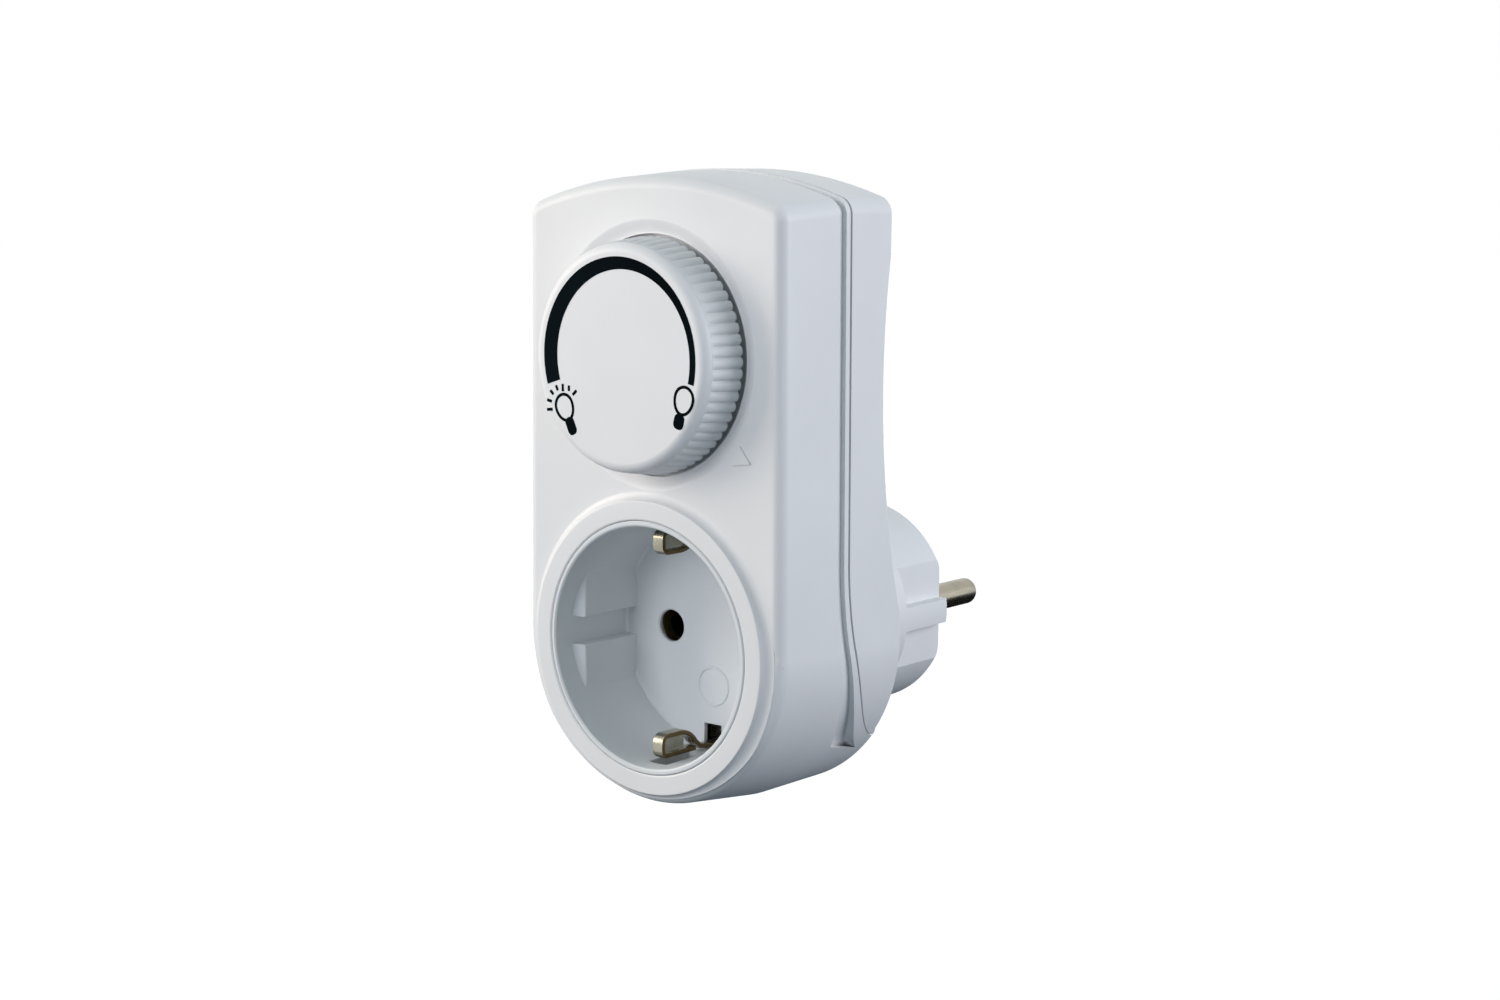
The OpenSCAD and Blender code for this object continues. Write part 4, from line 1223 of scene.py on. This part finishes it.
class DIMMER_OT_scale_print(Operator):
    """Print the dim-to-bright scale with its two bulbs on the knob"""

    bl_idname = "dimmer.scale_print"
    bl_label = "Printed scale"

    def execute(self, context):
        self.face = knob_face()
        outer = 16.15
        inner = 14.1
        shift = (0.88, 0.05)
        open_from = 198
        open_to = 348
        wedge = self.disc("wedge", outer, 0, 0, 256)
        carve(wedge, self.disc("inner", inner, *shift, 256, OVER))
        carve(wedge, self.open_sector(open_from, open_to))
        bright = self.bulb((-11.74, -8.3), radius=2.1, tail=2.7, tip=(-9.55, -12.85), base=3.0, width=1.9)
        dim = self.bulb((13.85, -5.5), radius=2.1, tail=2.8, tip=(12.45, -10.35), base=2.5, width=2.1)
        rays = [
            ((-9.85, -6.44), (-9.00, -5.66)), ((-10.67, -5.87), (-10.66, -4.94)),
            ((-12.0, -6.01), (-12.04, -4.77)), ((-13.18, -5.93), (-13.53, -5.07)),
            ((-14.11, -6.62), (-14.83, -5.99)), ((-14.48, -7.79), (-15.56, -7.60)),
            ((-14.34, -9.03), (-15.57, -9.22)),
        ]
        strokes = [self.stroke(start, end, width=0.5, edge=0.12) for start, end in rays]
        print_ = gather("knob_scale_print", [wedge, bright, dim, *strokes])
        smooth(print_)
        print_.data.materials.clear()
        print_.data.materials.append(finish_of("print_black"))
        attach(print_, "knob")
        return {"FINISHED"}

    def disc(self, name, radius, x, z, steps, deeper=0.0):
        """Flat disc on the knob's face."""
        front = self.face - PRINT_OUT - deeper
        back = self.face + PRINT_IN + deeper
        return rod(name, radius, front, back, x, KNOB_Z + z, steps)

    def open_sector(self, start, end):
        """Wedge that leaves the lower part of the scale open, between two angles."""
        far = 80
        sector = rod("sector", far, self.face - OVER, self.face + OVER, 0, KNOB_Z, 3)
        turns = [math.radians(start), math.radians(end)]
        corners = [(0.0, 0.0)]
        corners += [(far * math.cos(turn), far * math.sin(turn)) for turn in turns]
        was = sorted({(round(v.co.x, 6), round(v.co.z, 6)) for v in sector.data.vertices})
        was.sort(key=lambda p: math.atan2(p[1] - KNOB_Z * MM, p[0]))
        with editing(sector):
            for (x0, z0), (x1, z1) in zip(was, corners):
                pick(sector, "VERT", lambda v, x0=x0, z0=z0: math.hypot(v.co.x - x0, v.co.z - z0) < 2e-6)
                bpy.ops.transform.translate(value=(x1 * MM - x0, 0, (KNOB_Z + z1) * MM - z0))
            bpy.ops.mesh.select_all(action="SELECT")
            bpy.ops.mesh.normals_make_consistent(inside=False)
        return sector

    def stroke(self, start, end, width, edge):
        """Straight stroke with rounded ends between two points of the face."""
        (x0, z0), (x1, z1) = start, end
        thickness = PRINT_OUT + PRINT_IN
        depth = self.face + (PRINT_IN - PRINT_OUT) / 2
        turn = math.atan2(z1 - z0, x1 - x0)
        stroke = fresh(
            "stroke", bpy.ops.mesh.primitive_cube_add,
            at((x0 + x1) / 2, depth, KNOB_Z + (z0 + z1) / 2),
            (0, -turn, 0), (math.dist(start, end), thickness, width), size=MM,
        )
        upright = (thickness - HAIR) * MM
        round_edges(stroke, edge, lambda e: abs(e.verts[0].co.y - e.verts[1].co.y) > upright, 4)
        return stroke

    def bulb(self, centre, radius, tail, tip, base, width):
        """Egg-shaped outline of a lamp globe, with a black base at its narrow end."""
        line = 0.5
        x, z = centre
        run = math.dist(centre, tip)
        across = Vector((tip[0] - x, tip[1] - z)) / run
        turn = math.atan2(across.x, -across.y)
        hub = at(0, 0, KNOB_Z)
        shapes = []
        for inset in (0.0, line):
            egg = self.disc("globe", 1.0, 0, 0, 64, inset)
            size = radius - inset
            with editing(egg):
                bpy.ops.mesh.select_all(action="SELECT")
                bpy.ops.transform.resize(value=(size, 1, size), center_override=hub)
                pick(egg, "VERT", lambda vert: vert.co.z < hub.z)
                bpy.ops.transform.resize(value=(1, 1, (tail - inset) / size), center_override=hub)
                bpy.ops.mesh.select_all(action="SELECT")
                bpy.ops.transform.rotate(value=turn, orient_axis="Y", center_override=hub)
                bpy.ops.transform.translate(value=(x * MM, 0, z * MM))
            shapes.append(egg)
        globe = carve(*shapes)
        start = (tip[0] - across.x * base, tip[1] - across.y * base)
        return carve(globe, self.stroke(start, tip, width, width * 0.4), way="UNION")


class DIMMER_OT_case_screws(Operator):
    """Model the four case screws"""

    bl_idname = "dimmer.case_screws"
    bl_label = "Case screws"

    def execute(self, context):
        [case] = read_sizes(context, "case")
        seat = case.waist - SCREW_SINK
        # Radius and distance behind the seat, from the tip of the thread to the top of the head
        thread = [(1.0, -14), (1.4, -13.4), (1.4, 0)]
        head = [(2.75, 0), (2.75, 1.2), (2.6, 1.6), (2.2, 1.88), (1.6, 2)]
        rings = [(radius, seat + behind) for radius, behind in thread + head]
        slot_depth = seat + 1.7
        slot_size = (2.9, 1.6, 0.62)
        screws = []
        for x, z in screw_places(case):
            screw = lathe("screw", rings, x, z, 48)
            for turn in (0, QUARTER):
                slot = fresh(
                    "cross slot", bpy.ops.mesh.primitive_cube_add, at(x, slot_depth, z), (0, turn, 0),
                    slot_size, size=MM,
                )
                carve(screw, slot)
            screws.append(screw)
        screws = gather("case_screws", screws)
        smooth(screws)
        hand_over(screws, "housing", "steel", "housing_screws")
        return {"FINISHED"}


class DIMMER_OT_inner_parts(Operator):
    """Give every part of the frame that stays its finish"""

    bl_idname = "dimmer.inner_parts"
    bl_label = "Inner parts"

    def execute(self, context):
        for node, part in frame["nodes"].items():
            if part.hide_render:
                continue
            material = finish_of(SLOT_OF[node])
            for slot in part.material_slots:
                slot.material = material
            if not part.material_slots:
                part.data.materials.append(material)
        return {"FINISHED"}


# The height of the floor, what the lamps face, and each lamp's name, place, size, power and colour
FLOOR_Z = -0.062
LAMP_TARGET = Vector((0, -0.04, 0.03))
LAMPS = [
    ("key", (-1.13, -0.75, 0.35), 0.8, 11.8, (1.0, 0.88, 0.77)),
    ("front", (-0.2, -1.25, 0.3), 0.7, 5.8, (0.97, 0.95, 0.99)),
    ("right", (1.1, 0.5, 0.35), 0.8, 10.4, (0.95, 0.93, 1.0)),
]
# The camera's place, its axes to the right, up and back, and its lens and sensor in millimetres
CAMERA_PLACE = (0.25319, -0.34662, 0.07858)
CAMERA_AXES = ((0.77613, 0.63053, 0.00711), (-0.09385, 0.10434, 0.99010), (0.62355, -0.76912, 0.14016))
CAMERA_LENS = 57.0
CAMERA_SENSOR = 36.0


class DIMMER_OT_stage(Operator):
    """Set up the floor, the background, the lamps and the camera"""

    bl_idname = "dimmer.stage"
    bl_label = "Stage"

    def execute(self, context):
        scene = context.scene
        floor = fresh("floor", bpy.ops.mesh.primitive_plane_add, (0, 0, FLOOR_Z), size=6)
        floor.data.materials.append(self.floor_paper())
        place = (0.05, 0.14, FLOOR_Z + 0.004)
        flag = fresh("dark flag", bpy.ops.mesh.primitive_plane_add, place, size=0.42)
        flag.data.materials.append(self.flag_cloth())
        flag.visible_camera = False
        flag.visible_diffuse = False
        flag.visible_shadow = False
        scene.world = self.studio()
        for name, place, size, power, colour in LAMPS:
            bpy.ops.object.select_all(action="DESELECT")
            bpy.ops.object.light_add(type="AREA", location=place)
            lamp = context.object
            lamp.name = name
            lamp.data.size = size
            lamp.data.energy = power
            lamp.data.color = colour
            lamp.rotation_euler = (LAMP_TARGET - Vector(place)).to_track_quat("-Z", "Y").to_euler()
        bpy.ops.object.select_all(action="DESELECT")
        bpy.ops.object.camera_add(location=CAMERA_PLACE)
        camera = context.object
        camera.rotation_euler = Matrix(CAMERA_AXES).transposed().to_euler()
        camera.data.lens = CAMERA_LENS
        camera.data.sensor_width = CAMERA_SENSOR
        scene.camera = camera
        scene.view_settings.view_transform = "Standard"
        return {"FINISHED"}

    def floor_paper(self):
        """Blue-grey paper that glows white for the camera, a little less near the object."""
        material = bpy.data.materials.new("floor_paper")
        tree = blank(material)
        place = wire(tree, "ShaderNodeTexCoord")
        away = wire(tree, "ShaderNodeVectorMath", {0: place.outputs["Object"]}, operation="LENGTH")
        ramp = {"From Min": 0.1, "From Max": 0.6, "To Min": 0.93, "To Max": 1.0}
        glow = wire(tree, "ShaderNodeMapRange", {"Value": away.outputs["Value"], **ramp})
        power = wire(
            tree, "ShaderNodeMath", {0: self.seen(tree), 1: glow.outputs["Result"]}, operation="MULTIPLY"
        )
        white = wire(tree, "ShaderNodeEmission", {"Color": (1, 1, 1, 1), "Strength": power.outputs[0]})
        paper = wire(tree, "ShaderNodeBsdfDiffuse", {"Color": (0.11, 0.145, 0.18, 1)})
        both = wire(tree, "ShaderNodeAddShader", {0: white.outputs[0], 1: paper.outputs[0]})
        wire(tree, "ShaderNodeOutputMaterial", {"Surface": both.outputs[0]})
        return material

    def flag_cloth(self):
        """Black cloth under the plug, seen only in reflections."""
        material = bpy.data.materials.new("flag_cloth")
        tree = blank(material)
        cloth = wire(tree, "ShaderNodeBsdfDiffuse", {"Color": (0.02, 0.022, 0.02, 1)})
        wire(tree, "ShaderNodeOutputMaterial", {"Surface": cloth.outputs[0]})
        return material

    def studio(self):
        """World with a soft blue light, seen as white."""
        world = bpy.data.worlds.new("studio")
        tree = blank(world)
        soft = wire(tree, "ShaderNodeBackground", {"Color": (0.77, 0.94, 1.0, 1), "Strength": 0.37})
        white = wire(tree, "ShaderNodeBackground", {"Color": (1, 1, 1, 1), "Strength": 1.0})
        mixed = wire(
            tree, "ShaderNodeMixShader", {0: self.seen(tree), 1: soft.outputs[0], 2: white.outputs[0]}
        )
        wire(tree, "ShaderNodeOutputWorld", {"Surface": mixed.outputs[0]})
        return world

    def seen(self, tree):
        """Whether a ray comes from the camera, from a gloss or through glass."""
        path = wire(tree, "ShaderNodeLightPath")
        seen = path.outputs["Is Camera Ray"]
        for kind in ("Is Glossy Ray", "Is Transmission Ray"):
            either = wire(tree, "ShaderNodeMath", {0: seen, 1: path.outputs[kind]}, operation="MAXIMUM")
            seen = either.outputs[0]
        return seen


class DIMMER_PT_panel(Panel):
    """Sizes, colours and pieces of the dimmer"""

    bl_label = "Plug-in dimmer"
    bl_space_type = "VIEW_3D"
    bl_region_type = "UI"
    bl_category = "Dimmer"

    def draw(self, context):
        for group in GROUPS:
            box = self.layout.box()
            for name in GROUPS[group].__annotations__:
                box.prop(getattr(context.scene, group), name)
        for piece in PIECES:
            self.layout.operator(piece.bl_idname)


GROUPS = {
    "dimmer_case": DimmerCase,
    "dimmer_seam": DimmerSeam,
    "dimmer_outlet": DimmerOutlet,
    "dimmer_plug": DimmerPlug,
    "dimmer_knob": DimmerKnob,
    "dimmer_colours": DimmerColours,
}
PIECES = [
    DIMMER_OT_stage,
    DIMMER_OT_front_cover,
    DIMMER_OT_rear_cover,
    DIMMER_OT_outlet_insert,
    DIMMER_OT_earth_clips,
    DIMMER_OT_plug_pins,
    DIMMER_OT_earth_strips,
    DIMMER_OT_knob,
    DIMMER_OT_scale_print,
    DIMMER_OT_case_screws,
    DIMMER_OT_inner_parts,
]


def register():
    for group, kind in GROUPS.items():
        bpy.utils.register_class(kind)
        setattr(bpy.types.Scene, group, PointerProperty(type=kind))
    for kind in [*PIECES, DIMMER_PT_panel]:
        bpy.utils.register_class(kind)


def unregister():
    for kind in [DIMMER_PT_panel, *reversed(PIECES)]:
        bpy.utils.unregister_class(kind)
    for group, kind in GROUPS.items():
        delattr(bpy.types.Scene, group)
        bpy.utils.unregister_class(kind)


def main():
    register()
    bpy.ops.dimmer.stage()
    bpy.ops.dimmer.front_cover()
    bpy.ops.dimmer.rear_cover()
    bpy.ops.dimmer.outlet_insert()
    bpy.ops.dimmer.earth_clips()
    bpy.ops.dimmer.plug_pins()
    bpy.ops.dimmer.earth_strips()
    bpy.ops.dimmer.knob()
    bpy.ops.dimmer.scale_print()
    bpy.ops.dimmer.case_screws()
    bpy.ops.dimmer.inner_parts()


if __name__ == "__main__":
    main()
